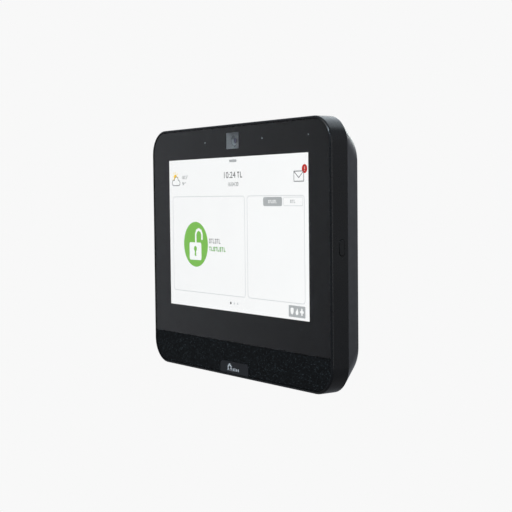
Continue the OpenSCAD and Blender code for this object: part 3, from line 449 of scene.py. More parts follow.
def glass_outline(inset):
    """Round corners at the top, tight ones at the joint with the cloth."""
    x0, x1, z0, z1 = glass_x0 + inset, glass_x1 - inset, glass_z0 + inset, glass_z1 - inset
    r, tight = corner - inset, 0.6
    points = []
    for cx, cz, radius, turn in ((x1 - tight, z0 + tight, tight, -90), (x1 - r, z1 - r, r, 0),
                                 (x0 + r, z1 - r, r, 90), (x0 + tight, z0 + tight, tight, 180)):
        steps = 28 if radius > 2 else 5
        points += arc(cx, cz, radius, turn, turn + 90, steps)
    return points


print("glass outline:", len(glass_outline(0)), "points")

# %% Rounded edges
def eased(mesh, width, segments=2):
    """Joins the flat triangles, rounds every sharp edge by width mm and shades the rest smooth."""
    shape = bmesh.new()
    shape.from_mesh(mesh)
    bmesh.ops.remove_doubles(shape, verts=shape.verts, dist=2e-7)
    bmesh.ops.dissolve_limit(shape, angle_limit=math.radians(0.5), verts=shape.verts, edges=shape.edges)
    bmesh.ops.recalc_face_normals(shape, faces=shape.faces)
    plain = bpy.data.meshes.new("eased")
    for finish in mesh.materials:
        plain.materials.append(finish)
    shape.to_mesh(plain)
    shape.free()
    holder = placed("eased", plain)
    bevel = holder.modifiers.new("edges", "BEVEL")
    bevel.width = width * MM
    bevel.segments = segments
    bevel.limit_method = "ANGLE"
    bevel.angle_limit = math.radians(35)
    bevel.use_clamp_overlap = True
    plain.shade_smooth()
    plain.set_sharp_from_angle(angle=math.radians(32))
    weight = holder.modifiers.new("weight", "WEIGHTED_NORMAL")
    weight.keep_sharp = True
    return settled(holder)


def piece_of(name, mesh, finish, body, replaces=()):
    piece = placed(name, mesh)
    dress(piece, finish)
    return seat(piece, body, replaces)


# %% Make the glass and the ink
back = glass_low + 0.2      # back face of the glass; the ink lies behind it
holes = [disc(x, row_z, 0.45, 20) for x in mic_x]
plate = filled([glass_outline(0), *holes], back, glass_high)
piece_of("cover_glass_plate", eased(plate, 0.22, 3), finishes["cover_glass"], "panel",
         ["touch_glass"])
window = rounded(-6.7, row_z - 4.95, 6.7, row_z + 4.95, 0.5)
lit = rounded(lit_x0, lit_z0, lit_x1, lit_z1)
pinhole = disc(light_x, row_z, 0.5, 20)
ink = filled([glass_outline(0.25), lit, window, pinhole, *holes], back - 0.12, back - 0.02)
gather("glass_ink_layer", [(ink, finishes["glass_ink"])], "panel")

# %% [markdown]
# ## The picture on the screen
# A lit display is its own lamp, so the picture is made of emissive shapes just under the glass.
# It is drawn in millimetres from the top left corner of the lit area, as a user interface is laid
# out. Words are shown as rows of small blocks, as a designer greeks text in a layout. The clock,
# the date and the temperatures have made-up figures. Every colour gets the display's faint grid.

# %% Lit colours
WAVE_STEP = 0.314159        # a wave texture repeats after this length divided by its scale
GRID = 0.000147             # pitch of the display's rows and columns
GAIN = 1.11                 # brightness of the backlight


def lit_colour(name, colour):
    made, graph, shader, place = new_finish(name)
    columns, rows = [grow(graph, "ShaderNodeTexWave", {"Vector": place, "Scale": WAVE_STEP / GRID},
                          bands_direction=way).outputs["Fac"] for way in ("X", "Z")]
    grid = math_node(graph, "MULTIPLY", columns, rows)
    low = tuple(c * 0.97 for c in colour)
    graph.links.new(ramp(graph, grid, [(0.0, low), (0.25, colour)]), shader.inputs["Emission Color"])
    shader.inputs["Emission Strength"].default_value = GAIN
    shader.inputs["Base Color"].default_value = (0.01, 0.01, 0.01, 1)
    shader.inputs["Roughness"].default_value = 0.6
    shader.inputs["Specular IOR Level"].default_value = 0.1
    return made


white = lit_colour("lit_white", (0.99, 1.0, 1.0))
field = lit_colour("lit_field", (0.975, 0.982, 0.984))
card_line = lit_colour("lit_card_line", (0.72, 0.74, 0.75))
dark_grey = lit_colour("lit_dark_grey", (0.030, 0.032, 0.036))
line_grey = lit_colour("lit_line_grey", (0.15, 0.16, 0.17))
mid_grey = lit_colour("lit_mid_grey", (0.42, 0.44, 0.45))
lit_green = lit_colour("lit_green", (0.200, 0.520, 0.075))
leaf_green = lit_colour("lit_leaf_green", (0.070, 0.380, 0.010))
red = lit_colour("lit_red", (0.500, 0.008, 0.001))
sun = lit_colour("lit_sun", (1.0, 0.66, 0.0))


print("lit colours:", sum(m.name.startswith("lit_") for m in bpy.data.materials))

# %% Shapes, words and figures on the screen
def layer(level):
    """Low and high face of one of five thin layers between the display and the glass."""
    low = glass_low + 0.005 + 0.014 * level
    return low, low + 0.010


def show(outlines, level):
    """Fills outlines given in mm to the right of and down from the top left corner."""
    return filled([[(lit_x0 + u, lit_z1 - v) for u, v in o] for o in outlines], *layer(level))


def words(u0, v0, u1, v1, letters, w=0.42):
    """Greeked text: a row of thin boxes, posts and angles in turn, one for each letter."""
    step, shapes = (u1 - u0) / letters, []
    for i in range(letters):
        a, b = u0 + step * i, u0 + step * (i + 0.70)
        kind = (i * 5 + letters) % 3
        if kind == 0:
            shapes += border(a, v0, b, v1, 0.3, w)
        elif kind == 1:
            shapes.append([(a, v0), (a + w, v0), (a + w, v1 - w), (b, v1 - w), (b, v1), (a, v1)])
        else:
            near, far = (a + b - w) / 2, (a + b + w) / 2
            shapes.append([(a, v0), (b, v0), (b, v0 + w), (far, v0 + w), (far, v1),
                           (near, v1), (near, v0 + w), (a, v0 + w)])
    return shapes


def figures(text, u0, v0, u1, v1, level):
    """Numerals fitted into a box on the screen."""
    curve = bpy.data.curves.new("figures", "FONT")
    curve.body = text
    curve.extrude = 0.001
    mesh = settled(placed("figures", curve))
    xs, ys = [v.co.x for v in mesh.vertices], [v.co.y for v in mesh.vertices]
    low, high = layer(level)
    for v in mesh.vertices:
        across = u0 + (v.co.x - min(xs)) / (max(xs) - min(xs)) * (u1 - u0)
        down = v1 - (v.co.y - min(ys)) / (max(ys) - min(ys)) * (v1 - v0)
        v.co = Vector((lit_x0 + across, -(high if v.co.z > 0 else low), lit_z1 - down)) * MM
    return mesh


print("a word of six letters has", len(words(0, 0, 12, 2, 6)), "outlines")


# %% Draw the picture
cloud = (arc(11.6, 14.7, 1.7, 90, -90, 14) + arc(8.9, 13.0, 2.3, 0, -150, 18)
         + arc(5.5, 14.6, 1.8, -60, -270, 16))
sun_u, sun_v = 7.6, 11.0
rays = [stroke([(sun_u + r * math.cos(a), sun_v + r * math.sin(a)) for r in (2.5, 3.6)], 0.5)[0]
        for a in [math.radians(d) for d in range(150, 361, 42)]]
shield = [(-1.5, -1.6), (0, -2.1), (1.5, -1.6), (1.5, 0.2), (1.0, 1.3), (0, 2.1), (-1.0, 1.3), (-1.5, 0.2)]
flame = [(0.2, -2.1), (1.0, -0.7), (1.4, 0.4), (1.1, 1.5), (0.0, 2.1), (-1.1, 1.5), (-1.4, 0.4),
         (-0.7, -0.3), (-0.2, -1.0)]
cross = [(-0.6, -2.0), (0.6, -2.0), (0.6, -0.6), (1.7, -0.6), (1.7, 0.6), (0.6, 0.6), (0.6, 2.0),
         (-0.6, 2.0), (-0.6, 0.6), (-1.7, 0.6), (-1.7, -0.6), (-0.6, -0.6)]
tray_marks = [[(cu + u, 89.5 + v) for u, v in shape]
              for cu, shape in ((134.4, shield), (139.0, flame), (143.6, cross))]
lock_body = rounded(24.2, 53.0, 38.4, 64.2, 1.4, 6)
shackle = stroke([(31.9, 53.2), (31.9, 47.6), (33.0, 45.6), (35.5, 44.6), (38.2, 45.6),
                  (39.3, 47.6), (39.3, 51.2)], 1.7)
keyhole = disc(31.3, 57.0, 1.7, 24)
slot_cut = [(30.7, 57.5), (31.9, 57.5), (32.3, 61.6), (30.3, 61.6)]
alert = [rounded(147.0, 7.7, 147.45, 9.3, 0.15, 2), disc(147.2, 9.95, 0.25, 10)]
picture = [
    (show([rounded(0, 0, wide, tall)], 0), white),
    (show([rounded(1.2, 1.2, wide - 2.2, tall - 2.0, 0.4)], 1), field),
    (show(border(4.0, 23.5, 87.8, 85.0, 2.4, 0.5), 2), card_line),
    (show(border(90.0, 23.5, 147.0, 85.0, 2.4, 0.5), 2), card_line),
    (show([rounded(71.5, 1.5, 79.5, 3.1, 0.8)], 2), mid_grey),
    (show([disc(sun_u, sun_v, 1.9)] + rays, 2), sun),
    (show([cloud], 3), white),
    (show(stroke(cloud, 0.5, closed=True), 4), line_grey),
    (figures("18.5\u00b0", 16.2, 10.0, 23.4, 12.3, 3), line_grey),
    (figures("9\u00b0", 16.2, 14.3, 20.4, 16.4, 3), line_grey),
    (figures("10:24", 65.6, 8.9, 78.2, 12.7, 3), dark_grey),
    (show(words(80.0, 9.0, 86.4, 12.6, 2, 0.6), 3), dark_grey),
    (figures("16/04/30", 70.2, 15.2, 81.2, 17.7, 3), line_grey),
    (show(border(137.0, 9.9, 146.6, 16.1, 0.3, 0.5), 3), line_grey),
    (show(stroke([(137.2, 10.1), (141.8, 13.8), (146.4, 10.1)], 0.5), 4), line_grey),
    (show([disc(147.2, 8.9, 2.5)] + alert, 4), red),
    (show(alert, 4), white),
    (show([rounded(107.0, 24.5, 125.7, 29.8, 1.2)], 3), mid_grey),
    (show(words(112.2, 26.2, 120.8, 28.1, 6, 0.34), 4), white),
    (show(border(126.8, 24.5, 145.5, 29.8, 1.2, 0.4), 3), card_line),
    (show(words(133.6, 26.2, 138.8, 28.1, 3), 3), mid_grey),
    (show([disc(31.8, 54.2, 14.4, 72)], 2), lit_green),
    (show([lock_body], 3), white),
    (show(shackle, 3), white),
    (show([keyhole], 4), lit_green),
    (show([slot_cut], 4), lit_green),
    (show(words(47.8, 50.2, 61.2, 53.1, 6, 0.40), 3), dark_grey),
    (show(words(47.8, 55.2, 66.8, 58.0, 8, 0.62), 3), leaf_green),
    (show([disc(71.5, 89.2, 0.8, 20)], 3), dark_grey),
    (show([disc(75.3, 89.2, 0.75, 20), disc(79.0, 89.2, 0.75, 20)], 3), card_line),
    (show([rounded(131.2, 86.2, 146.8, 92.8, 0.3)], 2), mid_grey),
    (show(tray_marks, 3), white),
]
gather("screen_picture", picture, "panel")

# %% [markdown]
# ## Behind the camera window
# The window shows a pale grey mask that slopes in to the camera like a shallow funnel, so stray
# light is kept off the lens. The barrel is turned: a dark lip, a stepped cone and the lens in the
# middle. Each is a closed profile spun round the camera's axis. The mask's slope joins a square
# edge to a round one, so it is drawn ring by ring from one outline to the other.

# %% Skins between rings of points
def skin(shape, rings, closed=False):
    """Lays faces from each ring of points to the next. A ring of one point closes as a pole."""
    pairs = list(zip(rings, rings[1:]))
    if closed:
        pairs.append((rings[-1], rings[0]))
    for a, b in pairs:
        sides = max(len(a), len(b))
        for i in range(sides):
            j = (i + 1) % sides
            corners = list(dict.fromkeys([a[i % len(a)], a[j % len(a)], b[j % len(b)], b[i % len(b)]]))
            if len(corners) > 2:
                shape.faces.new(corners)


def smooth_mesh(shape, name, sharp):
    """Writes a bmesh as a mesh that is smooth up to the given angle in degrees."""
    bmesh.ops.recalc_face_normals(shape, faces=shape.faces)
    mesh = bpy.data.meshes.new(name)
    shape.to_mesh(mesh)
    shape.free()
    mesh.shade_smooth()
    mesh.set_sharp_from_angle(angle=math.radians(sharp))
    return mesh


def spun(profile, x, z, sides=64):
    """Spins (radius, height above the wall) in mm round an axis that points at the viewer. The
    profile closes on itself, or on the axis."""
    shape, rings = bmesh.new(), []
    for r, h in profile:
        ring = disc(x, z, r, sides) if r else [(x, z)]
        rings.append([shape.verts.new((u * MM, -h * MM, v * MM)) for u, v in ring])
    skin(shape, rings, closed=profile[0][0] > 0)
    return smooth_mesh(shape, "spun", 35)


def lofted(outlines, heights):
    """Closed skin through outlines of equal point counts, from the first to the last and back."""
    shape = bmesh.new()
    rings = [[shape.verts.new((x * MM, -h * MM, z * MM)) for x, z in o] for o, h in zip(outlines, heights)]
    skin(shape, rings, closed=True)
    return smooth_mesh(shape, "lofted", 40)


def squircle(half_w, half_h, power, steps=96):
    """From a circle at power 2 towards a rectangle as the power grows, round the camera's axis."""
    points = []
    for i in range(steps):
        a = math.tau * i / steps
        c, t = math.cos(a), math.sin(a)
        reach = (abs(c) ** power + abs(t) ** power) ** (-1 / power)
        points.append((half_w * reach * c, row_z + half_h * reach * t))
    return points


print("rings ready, a squircle has", len(squircle(1, 1, 4)), "points")

# %% The mask, the barrel and the lens
shroud_low, shroud_high = height("camera_shroud")
barrel_low, barrel_high = height("camera_barrel")
outer, mouth = squircle(7.6, 5.75, 24), squircle(3.75, 3.75, 2)
funnel = lofted([outer, squircle(6.95, 5.2, 24), squircle(5.1, 4.6, 4), mouth, mouth, outer],
                [shroud_high, shroud_high, 22.75, 22.45, shroud_low, shroud_low])
piece_of("camera_funnel_mask", funnel, finishes["shroud_grey"], "panel", ["camera_shroud"])
cone_grey = moulded("camera_cone_grey", (0.54, 0.59, 0.61), 0.4)
lip_grey = moulded("camera_lip_grey", (0.34, 0.36, 0.37), 0.45)
lip = spun([(2.5, barrel_low), (3.5, barrel_low), (3.5, barrel_high - 0.2), (3.3, barrel_high),
            (3.0, barrel_high), (2.85, 22.2), (2.85, 21.0), (2.5, 21.0)], 0, row_z)
cone = spun([(2.8, 22.25), (2.3, 21.95), (2.2, 21.8), (1.75, 21.6), (1.65, 21.3), (1.9, 21.2), (2.8, 21.2)],
            0, row_z)
gather("camera_barrel_turned", [(lip, lip_grey), (cone, cone_grey)], "panel", ["camera_barrel"])
lens_low, lens_high = height("camera_lens")
lens_r, lens_rim = 1.6, 21.55
dome = [(lens_r * math.sin(a), lens_rim + (lens_high - lens_rim) * math.cos(a))
        for a in [math.radians(d) for d in range(0, 91, 10)]]
piece_of("camera_lens_ground", spun(dome + [(lens_r, lens_low), (0, lens_low)], 0, row_z),
         finishes["lens_glass"], "panel", ["camera_lens"])

# %% The iris, coloured by the distance from the camera's axis
iris, graph, shader, place = new_finish("lens_iris")
from_axis = grow(graph, "ShaderNodeVectorMath", {0: place, 1: (0, 0, row_z * MM)}, operation="SUBTRACT")
flat = grow(graph, "ShaderNodeVectorMath", {0: from_axis.outputs[0], 1: (1, 0, 1)}, operation="MULTIPLY")
far = grow(graph, "ShaderNodeVectorMath", {0: flat.outputs[0]}, operation="LENGTH").outputs["Value"]
rings_of_colour = ramp(graph, math_node(graph, "DIVIDE", far, lens_r * MM), [
    (0.0, (0.05, 0.04, 0.12)), (0.24, (0.12, 0.09, 0.30)),
    (0.32, (0.58, 0.62, 0.68)), (1.0, (0.40, 0.44, 0.48))])
graph.links.new(rings_of_colour, shader.inputs["Base Color"])
iris_top, iris_foot = lens_low - 0.05, lens_low - 0.25
piece_of("camera_iris", spun([(0, iris_top), (1.5, iris_top), (1.5, iris_foot), (0, iris_foot)], 0, row_z),
         iris, "panel")

# %% [markdown]
# The two microphone holes and the light sensor show as pale pin dots: a white mesh disc sits in
# each hole a little below the face of the glass.

# %% Pin dots
vent_white = moulded("vent_mesh", (0.80, 0.90, 0.96), 0.6, 0.0001, 0.00003)
mesh_disc = [(0, 24.74), (0.3, 24.72), (0.43, 24.6), (0.43, 24.2), (0, 24.2)]
sensor_disc = [(0, back - 0.03), (0.3, back - 0.03), (0.34, back - 0.2), (0, back - 0.2)]
dots = [(spun(mesh_disc, x, row_z, 20), vent_white) for x in mic_x]
dots.append((spun(sensor_disc, light_x, row_z, 20), vent_white))
gather("pin_dots", dots, "panel")

# %% [markdown]
# ## The cloth over the speakers
# A band of coarse polyester cloth is stretched over a perforated plate. Each yarn passes over one
# crossing yarn and under the next. The sheet is cut to the shape of its opening first. A Geometry
# Nodes tree then lifts every point by the plain weave's own rule, so the pitch and the height of
# the yarns stay two numbers that can be changed at any time.

# %% Cut the sheet to its opening
YARN_PITCH, YARN_HEIGHT = 0.0008, 0.00022


def inside_corner(x, z, cx, cz, hx, hz, r):
    """Signed distance to a rounded rectangle, and the way out of it."""
    qx, qz = abs(x - cx) - hx + r, abs(z - cz) - hz + r
    sx, sz = math.copysign(1, x - cx), math.copysign(1, z - cz)
    if qx > 0 and qz > 0:
        far = math.hypot(qx, qz)
        return far - r, (sx * qx / far, sz * qz / far)
    return (qx - r, (sx, 0)) if qx > qz else (qz - r, (0, sz))


cloth_x0, _, cloth_z0, cloth_x1, _, cloth_z1 = span("grille_cloth")
_, _, badge_z0, badge_x1, _, badge_z1 = span("badge_tab")
cloth_low, _ = height("grille_cloth")


def cut_cloth(step):
    """A fine grid, squeezed to the round corners below and to the notch for the badge tab. The two
    rounded rectangles reach well past the sheet above and below, so only those corners count."""
    nx, nz = round((cloth_x1 - cloth_x0) / step), round((cloth_z1 - cloth_z0) / step)
    shape, rows = bmesh.new(), []
    for j in range(nz + 1):
        row = []
        for i in range(nx + 1):
            x = cloth_x0 + (cloth_x1 - cloth_x0) * i / nx
            z = cloth_z0 + (cloth_z1 - cloth_z0) * j / nz
            moved = 0
            far, way = inside_corner(x, z, 0, cloth_z0 + 60, cloth_x1, 60, corner)
            if far > 0:
                x, z, moved = x - far * way[0], z - far * way[1], 1
            far, way = inside_corner(x, z, 0, badge_z1 - 20, badge_x1 + 0.05, 20.05, 3.05)
            if far < 0:
                x, z, moved = x - far * way[0], z - far * way[1], 1
            row.append((shape.verts.new((x * MM, -cloth_low * MM, z * MM)), moved))
        rows.append(row)
    for low, high in zip(rows, rows[1:]):
        for a, b, c, d in zip(low, low[1:], high[1:], high):
            if not (a[1] and b[1] and c[1] and d[1]):
                shape.faces.new((a[0], b[0], c[0], d[0]))
    loose = [v for v in shape.verts if not v.link_faces]
    bmesh.ops.delete(shape, geom=loose, context="VERTS")
    bmesh.ops.remove_doubles(shape, verts=shape.verts, dist=1e-6)
    mesh = bpy.data.meshes.new("cut_cloth")
    shape.to_mesh(mesh)
    shape.free()
    return mesh


flat_cloth = cut_cloth(0.2)
print("cut cloth:", len(flat_cloth.polygons), "faces")

# %% [markdown]
# The rule of a plain weave: across each yarn the height follows a half circle, along it the yarn
# rises and falls once every two crossings, and neighbours do it in turn. At every point the
# higher of the warp and the weft is the one that is seen.

# %% A weave as a Geometry Nodes tree
def weave_tree():
    tree = bpy.data.node_groups.new("plain_weave", "GeometryNodeTree")
    face = tree.interface
    face.new_socket("Geometry", in_out="INPUT", socket_type="NodeSocketGeometry")
    for name, value in (("Yarn pitch", YARN_PITCH), ("Yarn height", YARN_HEIGHT)):
        face.new_socket(name, in_out="INPUT", socket_type="NodeSocketFloat").default_value = value
    face.new_socket("Finish", in_out="INPUT", socket_type="NodeSocketMaterial")
    face.new_socket("Geometry", in_out="OUTPUT", socket_type="NodeSocketGeometry")
    given = grow(tree, "NodeGroupInput")
    place = grow(tree, "ShaderNodeSeparateXYZ", {0: grow(tree, "GeometryNodeInputPosition").outputs[0]})
    u = math_node(tree, "DIVIDE", place.outputs[0], given.outputs["Yarn pitch"])
    v = math_node(tree, "DIVIDE", place.outputs[2], given.outputs["Yarn pitch"])
    su = math_node(tree, "SINE", math_node(tree, "MULTIPLY", u, math.pi))
    sv = math_node(tree, "SINE", math_node(tree, "MULTIPLY", v, math.pi))
    cell = math_node(tree, "SIGN", math_node(tree, "MULTIPLY", su, sv))
    across_u = math_node(tree, "ABSOLUTE", su)
    across_v = math_node(tree, "ABSOLUTE", sv)
    warp_rise = math_node(tree, "MULTIPLY_ADD", math_node(tree, "MULTIPLY", cell, across_v), 0.5, 0.5)
    weft_rise = math_node(tree, "MULTIPLY_ADD", math_node(tree, "MULTIPLY", cell, across_u), -0.5, 0.5)
    warp = math_node(tree, "MULTIPLY", across_u, warp_rise)
    weft = math_node(tree, "MULTIPLY", across_v, weft_rise)
    high = math_node(tree, "MULTIPLY", math_node(tree, "MAXIMUM", warp, weft), given.outputs["Yarn height"])
    lift = grow(tree, "ShaderNodeCombineXYZ", {1: math_node(tree, "MULTIPLY", high, -1.0)})
    moved = grow(tree, "GeometryNodeSetPosition",
                 {"Geometry": given.outputs["Geometry"], "Offset": lift.outputs[0]})
    real = grow(tree, "GeometryNodeRealizeInstances", {0: moved.outputs[0]})
    done = grow(tree, "GeometryNodeSetMaterial",
                {"Geometry": real.outputs[0], "Material": given.outputs["Finish"]})
    out = grow(tree, "NodeGroupOutput")
    tree.links.new(done.outputs[0], out.inputs[0])
    return tree


def run_tree(mesh, tree, values):
    """Runs a Geometry Nodes tree on a mesh and returns the result as a plain mesh."""
    holder = placed("grown", mesh)
    step = holder.modifiers.new("grow", "NODES")
    step.node_group = tree
    for item in tree.interface.items_tree:
        if item.item_type == "SOCKET" and item.in_out == "INPUT" and item.name in values:
            step[item.identifier] = values[item.name]
    return settled(holder)


weave = weave_tree()
print("weave tree:", len(weave.nodes), "nodes")

# %% [markdown]
# The yarn is dark. Pale blue-grey flecks on it are painted glints, which stand in for highlights on single
# threads. White noise with one value for each half pitch picks them out, and a fine noise is the fibre.

# %% Finish of the cloth
def cloth_finish():
    made, graph, shader, place = new_finish("speaker_cloth")
    half = YARN_PITCH / 2
    cell = grow(graph, "ShaderNodeVectorMath", {0: place, 1: (half, 10, half)}, operation="DIVIDE")
    whole = grow(graph, "ShaderNodeVectorMath", {0: cell.outputs[0]}, operation="FLOOR").outputs[0]
    chance = grow(graph, "ShaderNodeTexWhiteNoise", {"Vector": whole}, noise_dimensions="3D").outputs["Value"]
    # The dark low stops are the yarn's own colour. The pale blue-grey top stops are painted glints on random
    # cells.
    yarn_with_painted_glints = ramp(graph, chance, [(0.0, (0.0014, 0.0016, 0.0018)), (0.55, (0.0030, 0.0035, 0.0039)),
                                (0.80, (0.0075, 0.0088, 0.010)), (0.95, (0.023, 0.028, 0.031)),
                                (1.0, (0.080, 0.100, 0.108))])
    fibre = speckle(graph, place, 0.00011, 2)
    shade = ramp(graph, fibre, [(0.3, (0.55, 0.55, 0.55)), (0.7, (1.2, 1.2, 1.2))])
    graph.links.new(blend_colours(graph, 1.0, yarn_with_painted_glints, shade, "MULTIPLY"), shader.inputs["Base Color"])
    relief(graph, shader, fibre, 0.00003)
    shader.inputs["Roughness"].default_value = 0.75
    shader.inputs["Specular IOR Level"].default_value = 0.15
    shader.inputs["Sheen Weight"].default_value = 0.04
    shader.inputs["Sheen Roughness"].default_value = 0.5
    return made


finishes["cloth"] = cloth_finish()
print("cloth finish:", finishes["cloth"].name)

# %% Weave the sheet and close its back
def closed_below(mesh):
    """Gives the woven sheet its back: the rim goes down to the plate and one flat face closes it."""
    shape = bmesh.new()
    shape.from_mesh(mesh)
    rim = [e for e in shape.edges if e.is_boundary]
    grown = bmesh.ops.extrude_edge_only(shape, edges=rim)["geom"]
    for v in [g for g in grown if isinstance(g, bmesh.types.BMVert)]:
        v.co.y = -cloth_low * MM
    edge = [g for g in grown if isinstance(g, bmesh.types.BMEdge) and g.is_boundary]
    bmesh.ops.contextual_create(shape, geom=edge)
    bmesh.ops.recalc_face_normals(shape, faces=shape.faces)
    shape.to_mesh(mesh)
    shape.free()
    mesh.shade_smooth()
    mesh.set_sharp_from_angle(angle=math.radians(60))
    return mesh


woven = run_tree(flat_cloth, weave, {"Yarn pitch": YARN_PITCH, "Yarn height": YARN_HEIGHT,
                                     "Finish": finishes["cloth"]})
cloth = piece_of("woven_grille_cloth", closed_below(woven), finishes["cloth"], "panel",
                 ["grille_cloth"])

# %% [markdown]
# ## The badge tab and the button
# The badge is a small dark tab that rises from the rim through the notch in the cloth. It carries
# a plain mark of this design's own: a small house with four short bars beside it, printed in white.
# Both it and the side button are soft-edged mouldings, so their CAD solids are eased by a bevel.

# %% Badge and button
def ease_node(name, width, segments, slot, body="panel"):
    """Replaces a CAD node by itself with eased edges."""
    piece_of(name + "_eased", eased(node[name].data, width, segments), finishes[slot], body, [name])


ease_node("badge_tab", 0.3, 3, "badge_plastic")
ease_node("power_button", 0.15, 2, "button_plastic", "power_button")
print_white = moulded("printed_mark", (0.96, 0.98, 1.0), 0.5, 0.0003, 0.000002, 0.05)
_, badge_high = height("badge_tab")
mid = (badge_z0 + badge_z1) / 2
house = stroke([(-6.5, mid - 1.6), (-6.5, mid + 0.6), (-4.9, mid + 1.9), (-3.3, mid + 0.6),
                (-3.3, mid - 1.6)], 1.15, closed=True)
bars = [rounded(x, mid - 1.9, x + w, mid + top, 0.2, 2)
        for x, w, top in ((-1.6, 1.5, -0.3), (0.4, 0.9, 0.1), (1.9, 1.5, -0.4), (4.0, 1.1, -0.3))]
gather("badge_mark", [(filled(house + bars, badge_high - 0.02, badge_high), print_white)], "panel")

# %% [markdown]
# ## Screws
# The panel has small screws in six families, and a seventh of slotted ones that clamp the wires.
# One screw is turned ring by ring: a drive recess, a pan head, a threaded shank and a point. A
# Geometry Nodes tree sets a copy on each place that the frame gives, so a family is one piece.

# %% Turn one screw
def screw_mesh(head_r, head_h, shank_r, length, slot_drive=False):
    """Head up along +Z with its seat at 0, and lengths in mm."""
    sides = 36
    lobe = head_r * 0.42
    levels = [(head_h * 0.35, lobe, 0.16), (head_h * 0.93, lobe, 0.16), (head_h * 0.95, head_r * 0.66, 0),
              (head_h, head_r * 0.72, 0), (head_h * 0.8, head_r * 0.93, 0), (head_h * 0.45, head_r, 0),
              (0, head_r, 0), (0, shank_r * 0.82, 0)]
    turns = max(2, round(length / 0.45))
    for i in range(turns):
        z = -length * (i + 0.5) / turns * 0.9
        levels += [(z + length / turns * 0.2, shank_r * 0.80, 0), (z, shank_r, 0)]
    levels += [(-length * 0.93, shank_r * 0.75, 0), (-length, shank_r * 0.35, 0)]
    shape, rings = bmesh.new(), []
    for z, r, swing in levels:
        ring = []
        for i in range(sides):
            a = math.tau * i / sides
            at = r * (1 + swing * math.cos(6 * a))
            if swing and slot_drive:
                at = min(head_r * 0.6, head_r * 0.14 / max(abs(math.sin(a)), 0.001))
            ring.append(shape.verts.new((at * math.cos(a) * MM, at * math.sin(a) * MM, z * MM)))
        rings.append(ring)
    skin(shape, rings)
    shape.faces.new(rings[0])
    shape.faces.new(rings[-1])
    return smooth_mesh(shape, "screw", 40)


print("screw tools ready")

# %% A tree that sets one shape on every point
def places_tree():
    tree = bpy.data.node_groups.new("set_on_places", "GeometryNodeTree")
    face = tree.interface
    face.new_socket("Geometry", in_out="INPUT", socket_type="NodeSocketGeometry")
    face.new_socket("Shape", in_out="INPUT", socket_type="NodeSocketObject")
    face.new_socket("Turn", in_out="INPUT", socket_type="NodeSocketVector")
    face.new_socket("Spin", in_out="INPUT", socket_type="NodeSocketFloat").default_value = 6.28
    face.new_socket("Seed", in_out="INPUT", socket_type="NodeSocketInt").default_value = 7
    face.new_socket("Finish", in_out="INPUT", socket_type="NodeSocketMaterial")
    face.new_socket("Geometry", in_out="OUTPUT", socket_type="NodeSocketGeometry")
    given = grow(tree, "NodeGroupInput")
    shape = grow(tree, "GeometryNodeObjectInfo", {"Object": given.outputs["Shape"]})
    chance = grow(tree, "FunctionNodeRandomValue", data_type="FLOAT")
    tree.links.new(given.outputs["Spin"], chance.inputs[3])
    tree.links.new(given.outputs["Seed"], chance.inputs["Seed"])
    spin = grow(tree, "ShaderNodeCombineXYZ", {2: chance.outputs[1]})
    stand = grow(tree, "FunctionNodeEulerToRotation", {0: given.outputs["Turn"]})
    set_on = grow(tree, "GeometryNodeInstanceOnPoints", {
        "Points": given.outputs["Geometry"], "Instance": shape.outputs["Geometry"],
        "Rotation": stand.outputs[0]})
    own_turn = grow(tree, "FunctionNodeEulerToRotation", {0: spin.outputs[0]})
    twist = grow(tree, "GeometryNodeRotateInstances",
                 {"Instances": set_on.outputs[0], "Rotation": own_turn.outputs[0]})
    real = grow(tree, "GeometryNodeRealizeInstances", {0: twist.outputs[0]})
    done = grow(tree, "GeometryNodeSetMaterial",
                {"Geometry": real.outputs[0], "Material": given.outputs["Finish"]})
    out = grow(tree, "NodeGroupOutput")
    tree.links.new(done.outputs[0], out.inputs[0])
    return tree


set_on_places = places_tree()
print("places tree:", len(set_on_places.nodes), "nodes")

# %% Set the seven families of screws
def solids_of(name):
    """The boxes of a node's separate solids, in mm, as (x0, y0, z0, x1, y1, z1)."""
    shape = bmesh.new()
    shape.from_mesh(node[name].data)
    bmesh.ops.remove_doubles(shape, verts=shape.verts, dist=1e-7)
    seen, boxes = set(), []
    for first in shape.verts:
        if first in seen:
            continue
        seen.add(first)
        todo, found = [first], []
        while todo:
            v = todo.pop()
            found.append(v.co / MM)
            for e in v.link_edges:
                other = e.other_vert(v)
                if other not in seen:
                    seen.add(other)
                    todo.append(other)
        boxes.append([f(c[k] for c in found) for f in (min, max) for k in range(3)])
    shape.free()
    return boxes


def set_screws(name, screw, places, turn):
    dots = bpy.data.meshes.new("places")
    dots.from_pydata([Vector(p) * MM for p in places], [], [])
    shape = placed("one_screw", screw)
    made = run_tree(dots, set_on_places, {"Shape": shape, "Turn": turn, "Spin": math.tau,
                                          "Finish": finishes["screw_steel"]})
    bpy.data.objects.remove(shape)
    piece_of(name + "_turned", made, finishes["screw_steel"], "panel", [name])


# head height and shank radius in mm, and 1 for a head towards the wall or -1 for one away from it
families = {
    "housing_screws": (2.0, 1.5, 1), "chassis_screws": (1.1, 0.8, 1), "board_screws": (1.1, 0.8, 1),
    "sensor_screws": (1.1, 0.8, 1), "speaker_screws": (1.1, 0.8, 1), "strap_screws": (1.1, 0.8, -1),
    "terminal_screws": (1.0, 0.8, 1),
}
for name, (head_h, shank_r, way) in families.items():
    boxes = solids_of(name)
    x0, y0, z0, x1, y1, z1 = boxes[0]
    head_r, length = (x1 - x0) / 2, (y1 - y0) - head_h
    under_head = (y1 - head_h) if way > 0 else (y0 + head_h)
    places = [((b[0] + b[3]) / 2, under_head, (b[2] + b[5]) / 2) for b in boxes]
    screw = screw_mesh(head_r, head_h, shank_r, length, slot_drive=name == "terminal_screws")
    set_screws(name, screw, places, (math.radians(-90 * way), 0, 0))

